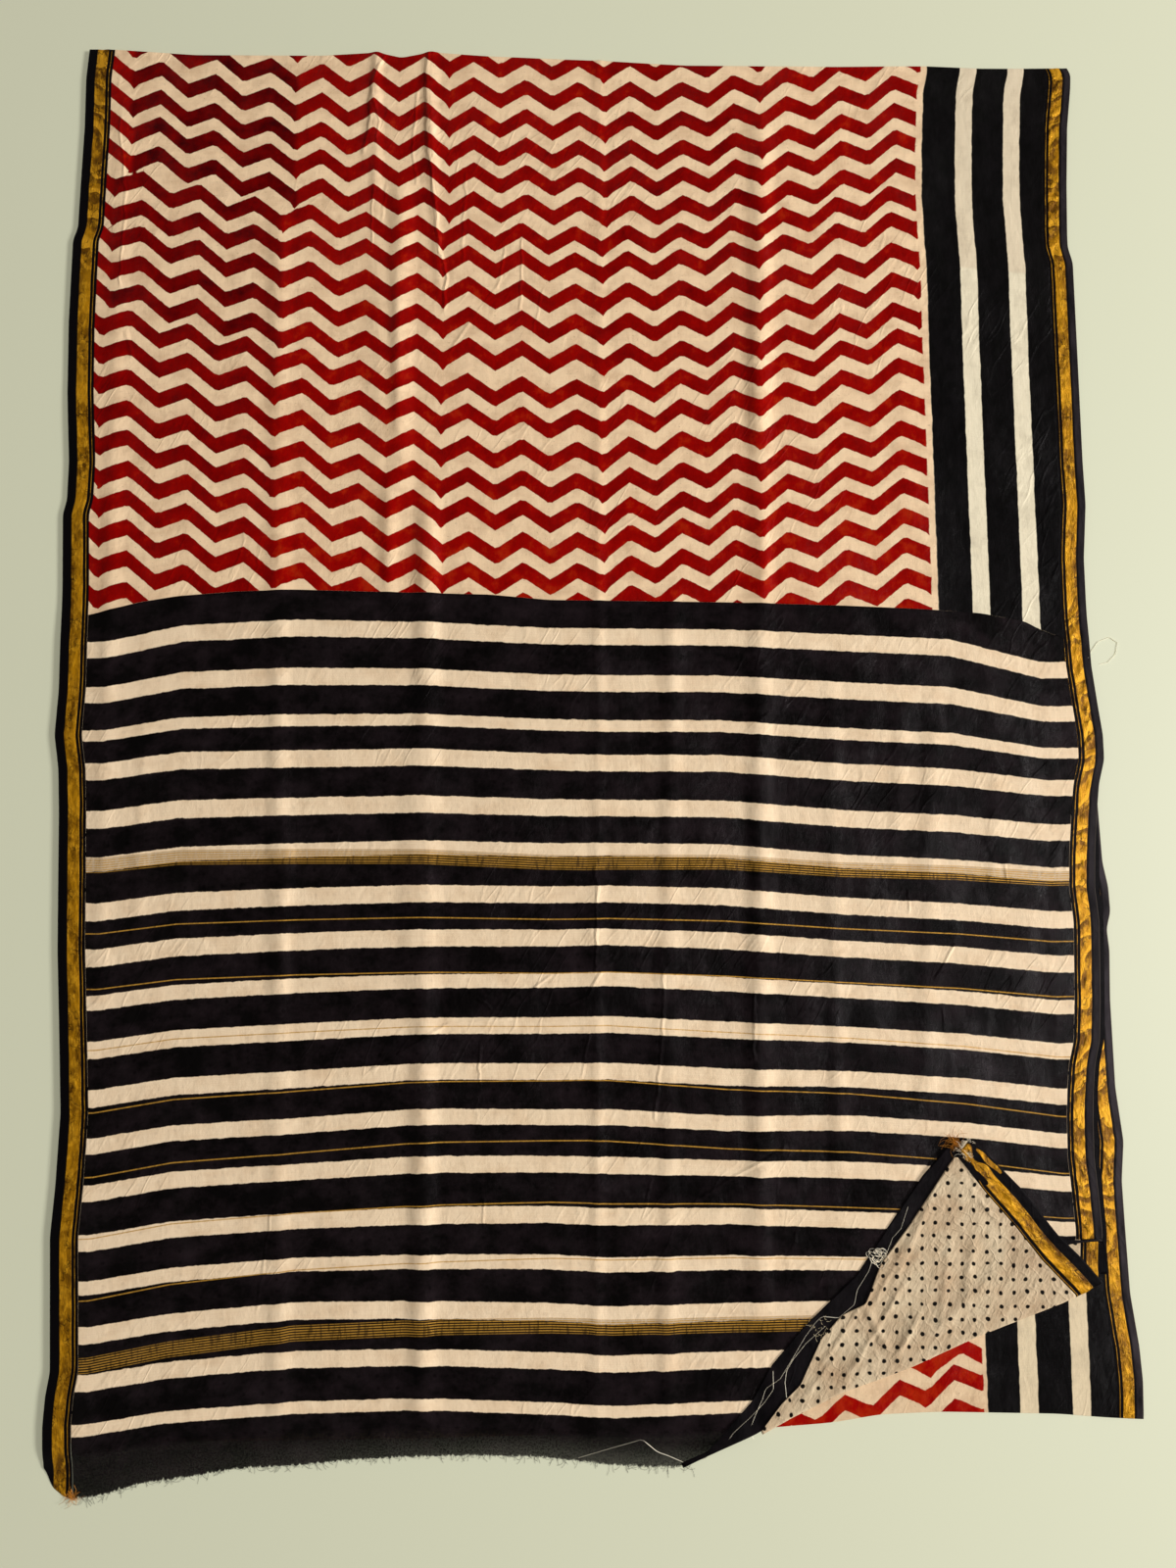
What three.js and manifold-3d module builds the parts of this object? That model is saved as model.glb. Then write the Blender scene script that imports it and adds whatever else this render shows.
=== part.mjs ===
// A folded saree laid flat on a floor, in millimetres: X across the cloth, Y along it, Z up.
// The top sheet is the body with the pallu at its lower end. It goes over the top fold and comes back
// below as the under stretch, whose bottom fold leads into the hidden folded layers on the floor.
// The blouse piece lies under the pallu, and one corner of both is turned up over the pallu.
import * as THREE from "three";
import { mergeVertices } from "three/addons/utils/BufferGeometryUtils.js";
import Module from "manifold-3d";

// Driving dimensions
const WALL = 1.0; // the cloth's wall
const GAP = 0.3; // between two layers, and between two pieces side by side
const BORDER_WIDTH = 28; // woven border: selvedge, zari band and inner line
const STACK_HEIGHT = 3.2; // hidden folded layers, away from their edges
const EDGE_DROP = 0.8; // their height falls by this at the edges
const EDGE_RUN = 45; // over this distance
const HALF_WIDTH = 560; // half of the folded width, for the fall at the edges
const CREASE_RUN = 80; // length over which a long crease rises and fades
const CREASE_SPAN = 1540; // from the top to the bottom of the sheet, for a crease that leans
const CREASE_UNEVEN = 0.2; // share by which a crease's height changes along it
const CREASE_WAVE = 110; // how slowly it does so
const STRONG_CREASE = 2.3; // a crease higher than this has more lattice lines
const STEP_HIGH = 140; // the top sheet steps down from here
const STEP_LOW = 100; // to the top end of the blouse piece
const TURN_LAP = 1; // flat strip inside a corner's fold line, before the roll
const ROLL_RADIUS = 2.0; // of the pallu's middle surface where its corner turns up
const FLAP_GAP = 0.6; // under each turned sheet
const SETTLE_RUN = 28; // the turned sheets come down from the roll over this distance
const TIP_LIFT = 2.0; // the turned corner's tip stands up by this
const TIP_REACH = 60; // and less with the distance from it
const SHELF_REACH = 5.5; // the blouse piece's selvedge shows this far outside the pallu's
const SHELF_INSET = 3; // and stays this far inside the under stretch's
const UNDER_INSET = 4; // at the left, the under stretch stays this far inside the top sheet
const BLOUSE_INSET = 9; // and the blouse piece this far
const STATION_STEP = 34; // along a corner's fold line
const FAR = 900; // past every edge

// Outlines in plan, as [x, y]
const LEFT_EDGE = [
  [-527, -773], [-540, -767], [-553, -745], [-557, -698], [-551, -640], [-555, -514], [-548, -391],
  [-556, -226], [-559, -83], [-566.5, 0], [-563, 95], [-565, 239], [-560, 280], [-564, 375],
  [-565, 470], [-558, 587], [-554, 700], [-551, 771],
];
const RIGHT_EDGE = [
  [522, -790], [530, -529], [525, -440], [531, -357], [540, -300], [543, -208], [539, -150],
  [546, -92], [550, -60], [557, -34], [557, -7], [548, 69], [546, 170], [553, 262], [550, 300],
  [550, 500], [545, 580], [551, 691], [558, 750], [553, 764],
];
const UNDER_RIGHT_EDGE = [
  [566, -720], [566.5, -690], [561, -618], [556, -540], [558, -425], [552, -330], [552, -240],
  [557, -190], [550, -113], [548, -60], [544, 60], [542, 200], [545, 400], [542, 580], [549, 764],
];
const TOP_FOLD = [
  [-551, 771], [-499, 769], [-434, 766], [-292, 767], [-216, 768], [-172, 773], [-39, 767],
  [116, 761], [391, 764], [553, 764],
];
const BOTTOM_FOLD = [
  [-545, -716], [-250, -720], [0, -721], [165, -720], [241, -716], [292, -709], [350, -708],
  [476, -713], [527, -718], [566, -720],
];
const PALLU_END = [
  [-527, -773], [-500, -770], [-462, -759], [-365, -747], [-248, -741], [-109, -740], [-50, -744],
  [10, -753], [81, -757], [300, -772], [522, -790],
];
const PALLU_TOP = [
  [-600, 118], [-525, 131], [-442, 149], [-317, 156], [-107, 150], [148, 141], [363, 133],
  [476, 119], [530, 96], [600, 80],
];
const PALLU_FOLD = [[81, -757], [159, -721], [492, -540], [529, -538]];
const BLOUSE_FOLD = [
  [159, -724], [198, -705], [252, -681], [323, -656], [391, -629], [434, -614], [499, -590],
  [526, -577],
];
const PALLU_CORNER = [
  [70, -770], [76, -752], [111, -740], [133, -717], [179, -656], [212, -620], [269, -569],
  [300, -526], [370, -438], [379, -433], [390, -448], [440, -494], [482, -536], [490, -531],
  [529, -530], [529, -600], [300, -720],
];
const BLOUSE_CORNER = [
  [170, -721], [188, -693], [208, -675], [231, -630], [252, -608], [278, -596], [295, -557],
  [326, -519], [369, -456], [382, -440], [402, -440], [447, -486], [506, -556], [523, -577],
  [515, -592], [499, -610], [300, -720],
];
const CORNER_BORDER_LINE = [[362, -430], [409, -485], [440, -520], [465, -553], [515, -610]];
const CORNER_TIP = [380, -440];

// Long soft creases: place at the top and bottom of the sheet, half width, height and range along Y
const CREASES = [
  { name: "left edge", xTop: -512, xBottom: -512, half: 14, height: 1.8, yLow: -320, yHigh: 740 },
  { name: "left third", xTop: -342, xBottom: -321, half: 17, height: 2.4, yLow: -735, yHigh: 600 },
  { name: "top wrinkle", xTop: -233, xBottom: -228, half: 10, height: 2.2, yLow: 560, yHigh: 900 },
  { name: "left strong", xTop: -172, xBottom: -179, half: 20, height: 3.8, yLow: -760, yHigh: 900 },
  { name: "middle", xTop: 18, xBottom: -2, half: 9, height: 1.6, yLow: -740, yHigh: 900 },
  { name: "right of middle", xTop: 104, xBottom: 69, half: 15, height: 2.0, yLow: -730, yHigh: 190 },
  { name: "right strong", xTop: 200, xBottom: 165, half: 20, height: 3.6, yLow: -640, yHigh: 740 },
  { name: "right soft", xTop: 268, xBottom: 252, half: 15, height: 1.8, yLow: -500, yHigh: 90 },
  { name: "right edge", xTop: 412, xBottom: 328, half: 17, height: 1.8, yLow: -440, yHigh: 60 },
];
const PLAIN_COLUMNS = [-590, -548, -430, -285, -85, 320, 480, 522, 545, 590];
const ROWS = [-688, -665, -560, -390, -190, 0, STEP_LOW, STEP_HIGH, 290, 450, 610, 735];

// The pallu runs past the bottom fold and comes down to the floor
const COME_DOWN = [
  { y: -726, share: 0.86 }, { y: -735, share: 0.5 }, { y: -746, share: 0.15 }, { y: -762, share: 0 },
  { y: -800, share: 0 },
];

// Hidden folded layers: how far each plate of them stays inside the edges and folds
const PLATES = [
  { side: 6, top: 5, bottom: 4, low: 0, high: 0.8 },
  { side: 10, top: 10, bottom: 8, low: 0.7, high: 1.6 },
  { side: 7, top: 6, bottom: 2.5, low: 1.5, high: 12 },
];
const PLATE_ROUND = 0.3; // rounding of a plate's edge
const PLATE_SIDES = { low: -700, high: 740 }; // its corners are cut off past these
const PLATE_CORNERS = { bottom: [-549, 558], top: [-545, 542] }; // and start this far out
const STACK_PAST = 800; // past both folds, for the solid that cuts the plates
const STACK_FOOT = -1; // bottom of that solid, below the floor

const wasm = await Module();
wasm.setup();

const FOLD_OUT = WALL + GAP / 2; // outer radius of a flat fold
const LAYER = WALL + GAP; // from one sheet to the next
const FOLD_ANGLES = [-90, -45, 0, 45, 90].map(THREE.MathUtils.degToRad);
const ROLL_ANGLES = [-90, -60, -30, 0, 30, 60, 90].map(THREE.MathUtils.degToRad);
const FOLD_RUN_ON = 50; // a fold line is used this far past its ends
const INWARD = new THREE.Vector2(-0.42, 0.907); // from the turned corner's fold lines to its tip
const UPPER_STEPS = [0, 5, 10, 16, 22, SETTLE_RUN, 50, 90, 140, 215];

// The other coordinate of a polyline at one coordinate; its points rise in that coordinate.
function follow(points, along, value) {
  const across = 1 - along;
  const found = points.findIndex((p) => p[along] > value);
  const next = found === -1 ? points.length - 1 : Math.max(found, 1);
  const [a, b] = [points[next - 1], points[next]];
  const t = (value - a[along]) / (b[along] - a[along]);
  return a[across] + t * (b[across] - a[across]);
}

const topFoldY = (x) => follow(TOP_FOLD, 0, x) - FOLD_OUT;
const bottomFoldY = (x) => follow(BOTTOM_FOLD, 0, x) + FOLD_OUT;
const shifted = (points, dx, dy) => points.map(([x, y]) => [x + dx, y + dy]);

function creaseX(crease, y) {
  const middle = (crease.xTop + crease.xBottom) / 2;
  return middle + ((crease.xTop - crease.xBottom) * y) / CREASE_SPAN;
}

// Height that the creases add: a cosine bump across each, fading at both ends and uneven along it.
function relief(x, y) {
  let sum = 0;
  for (const [k, crease] of CREASES.entries()) {
    const u = Math.abs(x - creaseX(crease, y)) / crease.half;
    if (u >= 1) continue;
    const rise = THREE.MathUtils.smoothstep(y, crease.yLow, crease.yLow + CREASE_RUN);
    const fade = 1 - THREE.MathUtils.smoothstep(y, crease.yHigh - CREASE_RUN, crease.yHigh);
    const uneven = 1 - CREASE_UNEVEN + CREASE_UNEVEN * Math.sin(y / CREASE_WAVE + 2 * k);
    sum += crease.height * 0.5 * (1 + Math.cos(Math.PI * u)) * rise * fade * uneven;
  }
  return sum;
}

// Top of the hidden layers: lower near the edges and folds, with the creases on it.
function stackTop(x, y) {
  const inside = Math.min(HALF_WIDTH - Math.abs(x), topFoldY(x) - y, y - bottomFoldY(x));
  const full = THREE.MathUtils.smoothstep(inside, 0, EDGE_RUN);
  return STACK_HEIGHT - EDGE_DROP * (1 - full) + relief(x, y);
}

// Undersides of the sheets above it
const underLow = (x, y) => stackTop(x, y) + GAP;
const blouseLow = (x, y) => underLow(x, y) + LAYER;

function topLow(x, y) {
  const foldY = bottomFoldY(x);
  const blouseShare = 1 - THREE.MathUtils.clamp((y - STEP_LOW) / (STEP_HIGH - STEP_LOW), 0, 1);
  const height = underLow(x, Math.max(y, foldY)) + LAYER * (1 + blouseShare);
  if (y >= foldY) return height;
  const falls = [...COME_DOWN.map((row) => [row.y, row.share]).reverse(), [foldY, 1]];
  return height * Math.max(follow(falls, 0, y), 0);
}

// Lengthwise lattice lines shared by every layer, so that layers stay parallel
const creaseSteps = ({ height }) => (height > STRONG_CREASE ? [-1, -0.45, 0, 0.45, 1] : [-1, 0, 1]);
const COLUMNS = [
  ...CREASES.flatMap((crease) =>
    creaseSteps(crease).map((step) => (y) => creaseX(crease, y) + step * crease.half)),
  ...PLAIN_COLUMNS.map((x) => () => x),
].sort((a, b) => a(0) - b(0));

function manifoldOf(geometry) {
  geometry.deleteAttribute("normal");
  geometry.deleteAttribute("uv");
  const merged = mergeVertices(geometry, 1e-4);
  return new wasm.Manifold(new wasm.Mesh({
    numProp: 3,
    vertProperties: new Float32Array(merged.attributes.position.array),
    triVerts: new Uint32Array(merged.index.array),
  }));
}

// A closed wall of cloth from rows of face points and back points, with the face up where it is flat.
function wallOf(rows) {
  const across = rows[0].length;
  const size = rows.length * across;
  const points = [...rows.flat().map((p) => p.face), ...rows.flat().map((p) => p.back)];
  const index = [];
  const quad = (a, b, c, d) => index.push(a, b, c, a, c, d);
  const at = (j, i) => j * across + i;
  const end = across - 1;
  for (let j = 0; j + 1 < rows.length; j++) {
    for (let i = 0; i < end; i++) {
      quad(at(j, i), at(j, i + 1), at(j + 1, i + 1), at(j + 1, i));
      quad(size + at(j, i), size + at(j + 1, i), size + at(j + 1, i + 1), size + at(j, i + 1));
    }
    quad(at(j, 0), at(j + 1, 0), size + at(j + 1, 0), size + at(j, 0));
    quad(at(j + 1, end), at(j, end), size + at(j, end), size + at(j + 1, end));
  }
  const last = rows.length - 1;
  for (let i = 0; i < end; i++) {
    quad(at(0, i + 1), at(0, i), size + at(0, i), size + at(0, i + 1));
    quad(at(last, i), at(last, i + 1), size + at(last, i + 1), size + at(last, i));
  }
  const geometry = new THREE.BufferGeometry().setFromPoints(points);
  geometry.setIndex(index);
  return manifoldOf(geometry);
}

// A row of a flat sheet: at each column, the wall stands on the height that low gives.
function flatRow(yAt, low) {
  return COLUMNS.map((column) => {
    const y = yAt(column(yAt(0)));
    const x = column(y);
    const z = low(x, y);
    return { face: new THREE.Vector3(x, y, z + WALL), back: new THREE.Vector3(x, y, z) };
  });
}

// Rows of a flat fold: the wall turns half round the gap below it, outward in the direction dir of Y.
function foldRows(yAt, low, dir) {
  return FOLD_ANGLES.map((angle) =>
    COLUMNS.map((column) => {
      const y = yAt(column(yAt(0)));
      const x = column(y);
      const z = low(x, y) - GAP / 2;
      const on = (radius) =>
        new THREE.Vector3(x, y + dir * radius * Math.cos(angle), z + radius * Math.sin(angle));
      return { face: on(FOLD_OUT), back: on(GAP / 2) };
    }));
}

// A tall prism on a plan outline, to cut walls with.
function prism(outline, low = -FAR, high = FAR, round = 0) {
  const shape = new THREE.Shape(outline.map(([x, y]) => new THREE.Vector2(x, y)));
  const geometry = new THREE.ExtrudeGeometry(shape, {
    depth: high - low - 2 * round,
    bevelEnabled: round > 0,
    bevelThickness: round,
    bevelSize: round,
    bevelOffset: -round,
    bevelSegments: 1,
  });
  geometry.translate(0, 0, low + round);
  return manifoldOf(geometry);
}

const strip = (left, right) => prism([...right, ...[...left].reverse()]);
const reachUp = (line) => [...line, [line.at(-1)[0], FAR]];
const reachBoth = (line) => [[line[0][0], -FAR], ...reachUp(line)];
const constantRows = (ys, low) => ys.map((y) => flatRow(() => y, low));

// A fold line run on past both its ends
function runOn(line) {
  const past = ([x, y], [fromX, fromY]) => {
    const share = FOLD_RUN_ON / Math.hypot(x - fromX, y - fromY);
    return [x + share * (x - fromX), y + share * (y - fromY)];
  };
  return [past(line[0], line[1]), ...line, past(line.at(-1), line.at(-2))];
}

// Region beyond a corner's fold line, less the flat strip that the roll starts with
function beyondFold(foldLine) {
  const lap = TURN_LAP + GAP;
  const line = shifted(runOn(foldLine), lap * INWARD.x, lap * INWARD.y);
  return prism([[line[0][0], -FAR], [line.at(-1)[0], -FAR], ...line.reverse()]);
}

// Top sheet: pallu, body, top fold and both borders
const topSheet = wallOf([
  ...constantRows(COME_DOWN.map((row) => row.y).reverse(), topLow),
  flatRow(bottomFoldY, topLow),
  ...constantRows(ROWS, topLow),
  ...foldRows(topFoldY, topLow, 1).reverse(),
]);
const topOutline = prism([
  ...PALLU_END, ...reachUp(RIGHT_EDGE.slice(1)), ...reachUp(LEFT_EDGE.slice(1)).reverse(),
]);
const topCut = topSheet.intersect(topOutline).subtract(beyondFold(PALLU_FOLD));
const leftInner = reachBoth(shifted(LEFT_EDGE, BORDER_WIDTH, 0));
const rightInner = reachBoth(shifted(RIGHT_EDGE, -BORDER_WIDTH, 0));
const field = topCut.intersect(
  strip(shifted(leftInner, GAP / 2, 0), shifted(rightInner, -GAP / 2, 0)));
const abovePallu = prism([...shifted(PALLU_TOP, 0, GAP / 2), [FAR, FAR], [-FAR, FAR]]);
const belowBody = prism([[-FAR, -FAR], [FAR, -FAR], ...shifted(PALLU_TOP, 0, -GAP / 2).reverse()]);

// Under stretch: from below the top fold to its own bottom fold
const underSheet = wallOf([
  ...foldRows(bottomFoldY, underLow, -1),
  ...constantRows(ROWS, underLow),
  flatRow((x) => topFoldY(x) - GAP, underLow),
]);
const underRight = reachBoth(UNDER_RIGHT_EDGE);
const underLeft = reachBoth(shifted(LEFT_EDGE, UNDER_INSET, 0));
const underInner = shifted(underRight, -BORDER_WIDTH, 0);

// Blouse piece: under the pallu, its selvedge showing a little outside the pallu's
const blouseSheet = wallOf([
  flatRow((x) => bottomFoldY(x) + GAP, blouseLow),
  ...constantRows(ROWS.filter((y) => y <= STEP_LOW), blouseLow),
]);
const blouseRight = UNDER_RIGHT_EDGE.map(([x, y]) =>
  [Math.min(follow(RIGHT_EDGE, 1, y) + SHELF_REACH, x - SHELF_INSET), y]);
const blousePiece = blouseSheet
  .intersect(strip(reachBoth(shifted(LEFT_EDGE, BLOUSE_INSET, 0)), reachBoth(blouseRight)))
  .subtract(beyondFold(BLOUSE_FOLD));

// Hidden folded layers: plates of unequal outline on each other, flat below
function plateOutline(plate) {
  const sidePart = (line, dx) =>
    shifted(line, dx, 0).filter(([, y]) => y > PLATE_SIDES.low && y < PLATE_SIDES.high);
  const foldPart = (line, dy, corners) => {
    const [xLeft, xRight] = [corners[0] + plate.side, corners[1] - plate.side];
    const inner = line.filter(([x]) => x > xLeft && x < xRight);
    const ends = [xLeft, xRight].map((x) => [x, follow(line, 0, x)]);
    return shifted([ends[0], ...inner, ends[1]], 0, dy);
  };
  const low = foldPart(BOTTOM_FOLD, plate.bottom, PLATE_CORNERS.bottom);
  const high = foldPart(TOP_FOLD, -plate.top, PLATE_CORNERS.top);
  return [
    ...low,
    ...sidePart(UNDER_RIGHT_EDGE, -plate.side),
    ...high.reverse(),
    ...sidePart(LEFT_EDGE, plate.side).reverse(),
  ];
}
const stackRows = [
  flatRow(() => -STACK_PAST, stackTop), flatRow(bottomFoldY, stackTop), ...constantRows(ROWS, stackTop),
  flatRow(topFoldY, stackTop), flatRow(() => STACK_PAST, stackTop),
];
const stackSheet = wallOf(stackRows.map((row) =>
  row.map(({ back }) => ({ face: back, back: new THREE.Vector3(back.x, back.y, STACK_FOOT) }))));
const hiddenLayers = PLATES
  .map((plate) => prism(plateOutline(plate), plate.low, plate.high, PLATE_ROUND))
  .reduce((all, plate) => all.add(plate))
  .intersect(stackSheet);

// Turned corner. Distances go inward from a fold line, square to it.

// Height of the turned pallu's middle over the flat pallu's: down from the roll to lie on it.
function settled(distance) {
  const down = THREE.MathUtils.smoothstep(distance, 0, SETTLE_RUN);
  return 2 * ROLL_RADIUS + (WALL + FLAP_GAP - 2 * ROLL_RADIUS) * down;
}

function tipLift(x, y) {
  const away = Math.hypot(x - CORNER_TIP[0], y - CORNER_TIP[1]) / TIP_REACH;
  return TIP_LIFT * Math.exp(-away * away);
}

const palluMiddle = (x, y) => topLow(x, y) + WALL / 2;
const palluFoldInside = (x, y) =>
  (y - follow(PALLU_FOLD, 0, Math.min(x, PALLU_FOLD.at(-1)[0] - 1))) * INWARD.y;

// A sheet turned over a fold line: a flat strip below, half a roll, and the upper sheet.
function turnedSheet(foldLine, layerDrop, rollRadius, upperHeight) {
  const line = runOn(foldLine).map((p) => new THREE.Vector2(...p));
  const along = line.slice(1).flatMap((end, k) => {
    const steps = Math.max(1, Math.round(line[k].distanceTo(end) / STATION_STEP));
    return Array.from({ length: steps }, (_, s) => line[k].clone().lerp(end, s / steps));
  });
  along.push(line.at(-1));
  const rowOf = (inward, height, out, up) => along.map((station) => {
    const place = station.clone().addScaledVector(INWARD, inward);
    const z = palluMiddle(place.x, place.y) + height(place.x, place.y);
    const middle = new THREE.Vector3(place.x, place.y, z);
    const normal = new THREE.Vector3(-INWARD.x * out, -INWARD.y * out, up);
    return {
      face: middle.clone().addScaledVector(normal, WALL / 2),
      back: middle.clone().addScaledVector(normal, -WALL / 2),
    };
  });
  const lower = [TURN_LAP, 0].map((d) => rowOf(d, () => -layerDrop, 0, -1));
  const roll = ROLL_ANGLES.slice(1, -1).map((angle) => {
    const height = rollRadius * (1 + Math.sin(angle)) - layerDrop;
    return rowOf(-rollRadius * Math.cos(angle), () => height, Math.cos(angle), Math.sin(angle));
  });
  const upper = UPPER_STEPS.map((d) => rowOf(d, upperHeight, 0, 1));
  return wallOf([...lower, ...roll, ...upper]);
}

const palluUpper = (x, y) => settled(Math.max(palluFoldInside(x, y), 0)) + tipLift(x, y);
const blouseUpper = (x, y) => palluUpper(x, y) + WALL + FLAP_GAP;
const blouseRoll = ROLL_RADIUS + (WALL + FLAP_GAP + LAYER) / 2;
const palluTurned = turnedSheet(PALLU_FOLD, 0, ROLL_RADIUS, palluUpper).intersect(prism(PALLU_CORNER));
const blouseTurned = turnedSheet(BLOUSE_FOLD, LAYER, blouseRoll, blouseUpper)
  .intersect(prism(BLOUSE_CORNER));
const cornerField = prism([...CORNER_BORDER_LINE, [0, -FAR], [0, 0]].reverse());
const cornerBorder = prism([...shifted(CORNER_BORDER_LINE, GAP, 0), [FAR, -FAR], [FAR, 0]]);

const CREAM = { color: 0xe2c6a0, roughness: 0.55, metalness: 0.0 };
const BLACK = { color: 0x171418, roughness: 0.5, metalness: 0.0 };
const ZARI = { color: 0xb8862e, roughness: 0.4, metalness: 0.6 };
const DOTTED = { color: 0xd9c9ae, roughness: 0.65, metalness: 0.0 };

const saree = new THREE.Group();

function place(name, solid, look) {
  const { vertProperties, triVerts, numProp } = solid.getMesh();
  const geometry = new THREE.BufferGeometry();
  geometry.setAttribute("position", new THREE.BufferAttribute(vertProperties, numProp));
  geometry.setIndex(new THREE.BufferAttribute(triVerts, 1));
  const mesh = new THREE.Mesh(geometry, new THREE.MeshStandardMaterial(look));
  mesh.name = name;
  saree.add(mesh);
}

place("hidden_layers", hiddenLayers, CREAM);
place("under_stretch", underSheet.intersect(strip(underLeft, shifted(underInner, -GAP, 0))), CREAM);
place("under_border_right", underSheet.intersect(strip(underInner, underRight)), ZARI);
place("blouse_piece", blousePiece, DOTTED);
place("body", field.intersect(abovePallu), CREAM);
place("pallu", field.intersect(belowBody), BLACK);
place("border_left", topCut.intersect(
  strip(shifted(leftInner, -2 * BORDER_WIDTH, 0), shifted(leftInner, -GAP / 2, 0))), ZARI);
place("border_right", topCut.intersect(
  strip(shifted(rightInner, GAP / 2, 0), shifted(rightInner, 2 * BORDER_WIDTH, 0))), ZARI);
place("pallu_turned", palluTurned, BLACK);
place("blouse_turned", blouseTurned.intersect(cornerField), DOTTED);
place("blouse_turned_border", blouseTurned.intersect(cornerBorder), ZARI);

export default saree;
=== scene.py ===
import bpy
import numpy as np
from mathutils import Matrix, Vector


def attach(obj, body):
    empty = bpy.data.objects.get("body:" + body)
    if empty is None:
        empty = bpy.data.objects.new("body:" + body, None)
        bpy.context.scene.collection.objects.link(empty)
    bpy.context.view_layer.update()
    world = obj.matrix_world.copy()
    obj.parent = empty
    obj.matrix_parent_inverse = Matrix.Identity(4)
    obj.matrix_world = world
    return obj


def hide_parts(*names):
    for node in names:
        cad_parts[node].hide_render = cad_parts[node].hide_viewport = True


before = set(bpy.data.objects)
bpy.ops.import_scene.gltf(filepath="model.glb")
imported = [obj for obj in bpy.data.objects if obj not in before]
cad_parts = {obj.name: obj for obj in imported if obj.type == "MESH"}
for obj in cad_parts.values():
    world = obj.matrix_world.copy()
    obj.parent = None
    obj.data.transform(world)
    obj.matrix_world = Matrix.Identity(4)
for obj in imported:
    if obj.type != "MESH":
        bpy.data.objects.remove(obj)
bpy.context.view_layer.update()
scene = bpy.context.scene


# Camera: over the middle of the cloth and almost straight above it, held by hand, with a wide lens.
# The sensor width goes with the long side of the upright picture.
CAMERA_PLACE = Vector((-0.0389, -0.1507, 1.1519))
CAMERA_FORWARD = Vector((0.0309, 0.0822, -0.9961))
CAMERA_UP = Vector((0.0075, 0.9966, 0.0825))
camera_data = bpy.data.cameras.new("camera")
camera_data.lens = 24.75
camera_data.sensor_width = 36
camera = bpy.data.objects.new("camera", camera_data)
scene.collection.objects.link(camera)
camera_right = CAMERA_FORWARD.cross(CAMERA_UP).normalized()
camera_up = camera_right.cross(CAMERA_FORWARD).normalized()
turned = Matrix((camera_right, camera_up, -CAMERA_FORWARD.normalized())).transposed()
camera.matrix_world = Matrix.Translation(CAMERA_PLACE) @ turned.to_4x4()
scene.camera = camera


# Hidden folded layers: two stretches of the saree lie under the ones that show, joined by a fold at
# the top. They are soft silk-cotton, pressed together by the layers on them and a little uneven at the
# edges. All plan sizes here are millimetres, with X across the cloth and Y along it.
MM = 0.001
WALL = 1.0  # each layer's share of the height
GAP = 0.3
LAYER = WALL + GAP
CLOTH_THICK = 0.32  # the shown cloth
FOLD_OUT = WALL + GAP / 2
STACK_HEIGHT = 3.2
EDGE_DROP = 0.8
EDGE_RUN = 45
HALF_WIDTH = 560

LEFT_EDGE = [
    (-800, -556), (-740, -556), (-698, -557), (-669, -555), (-646, -551), (-580, -553), (-514, -555),
    (-462, -551), (-391, -548), (-306, -552), (-226, -556), (-83, -559), (-36, -561), (0, -566),
    (48, -563), (158, -563), (239, -565), (255, -561), (298, -560), (375, -564), (452, -565),
    (547, -563), (562, -558), (626, -556), (680, -554), (736, -554), (771, -551),
]
RIGHT_EDGE = [
    (-560, 528), (-529, 530), (-494, 528), (-454, 525), (-413, 526), (-383, 528), (-357, 531),
    (-334, 537), (-291, 540), (-208, 543), (-171, 540), (-134, 542), (-92, 546), (-60, 550),
    (-34, 557), (-7, 557), (25, 553), (69, 548), (123, 546), (189, 546), (250, 551), (300, 550),
    (530, 550), (548, 545), (562, 545), (621, 547), (691, 551), (739, 557), (756, 558), (764, 553),
]
UNDER_RIGHT_EDGE = [
    (-726, 565), (-716, 566), (-682, 567), (-648, 565), (-594, 558), (-524, 556), (-479, 555),
    (-439, 559), (-383, 553), (-291, 552), (-239, 554), (-216, 552), (-198, 557), (-171, 556),
    (-145, 551), (-60, 548), (60, 544), (200, 542), (400, 545), (580, 542), (764, 549),
]
TOP_FOLD = [
    (-570, 771), (-526, 771), (-434, 766), (-292, 767), (-232, 772), (-205, 766), (-172, 773),
    (-106, 769), (27, 765), (116, 761), (284, 762), (391, 764), (453, 762), (570, 764),
]
BOTTOM_FOLD = [
    (-570, -716), (-250, -720), (0, -721), (165, -720), (241, -716), (292, -709), (353, -708),
    (476, -713), (527, -718), (570, -721),
]
# Long soft creases: X at the top and bottom, half width, height, range along Y
CREASES = [
    (-512, -512, 14, 1.8, -320, 740), (-342, -321, 17, 2.4, -735, 600),
    (-233, -228, 10, 2.2, 560, 900), (-172, -179, 20, 3.8, -760, 290),
    (-205, -205, 19, 3.8, 210, 650), (-172, -172, 13, 2.8, 590, 900),
    (18, -2, 9, 1.6, -740, 900), (104, 69, 15, 2.0, -730, 190),
    (200, 165, 20, 3.6, -640, 740), (268, 252, 15, 1.8, -500, 90), (412, 328, 17, 1.8, -440, 60),
]
CREASE_RUN = 80  # length over which a crease rises and fades
CREASE_SPAN = 1540  # from its X at the top to its X at the bottom
CREASE_UNEVEN, CREASE_WAVE = 0.2, 110  # how much its height changes along it, and how slowly


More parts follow.
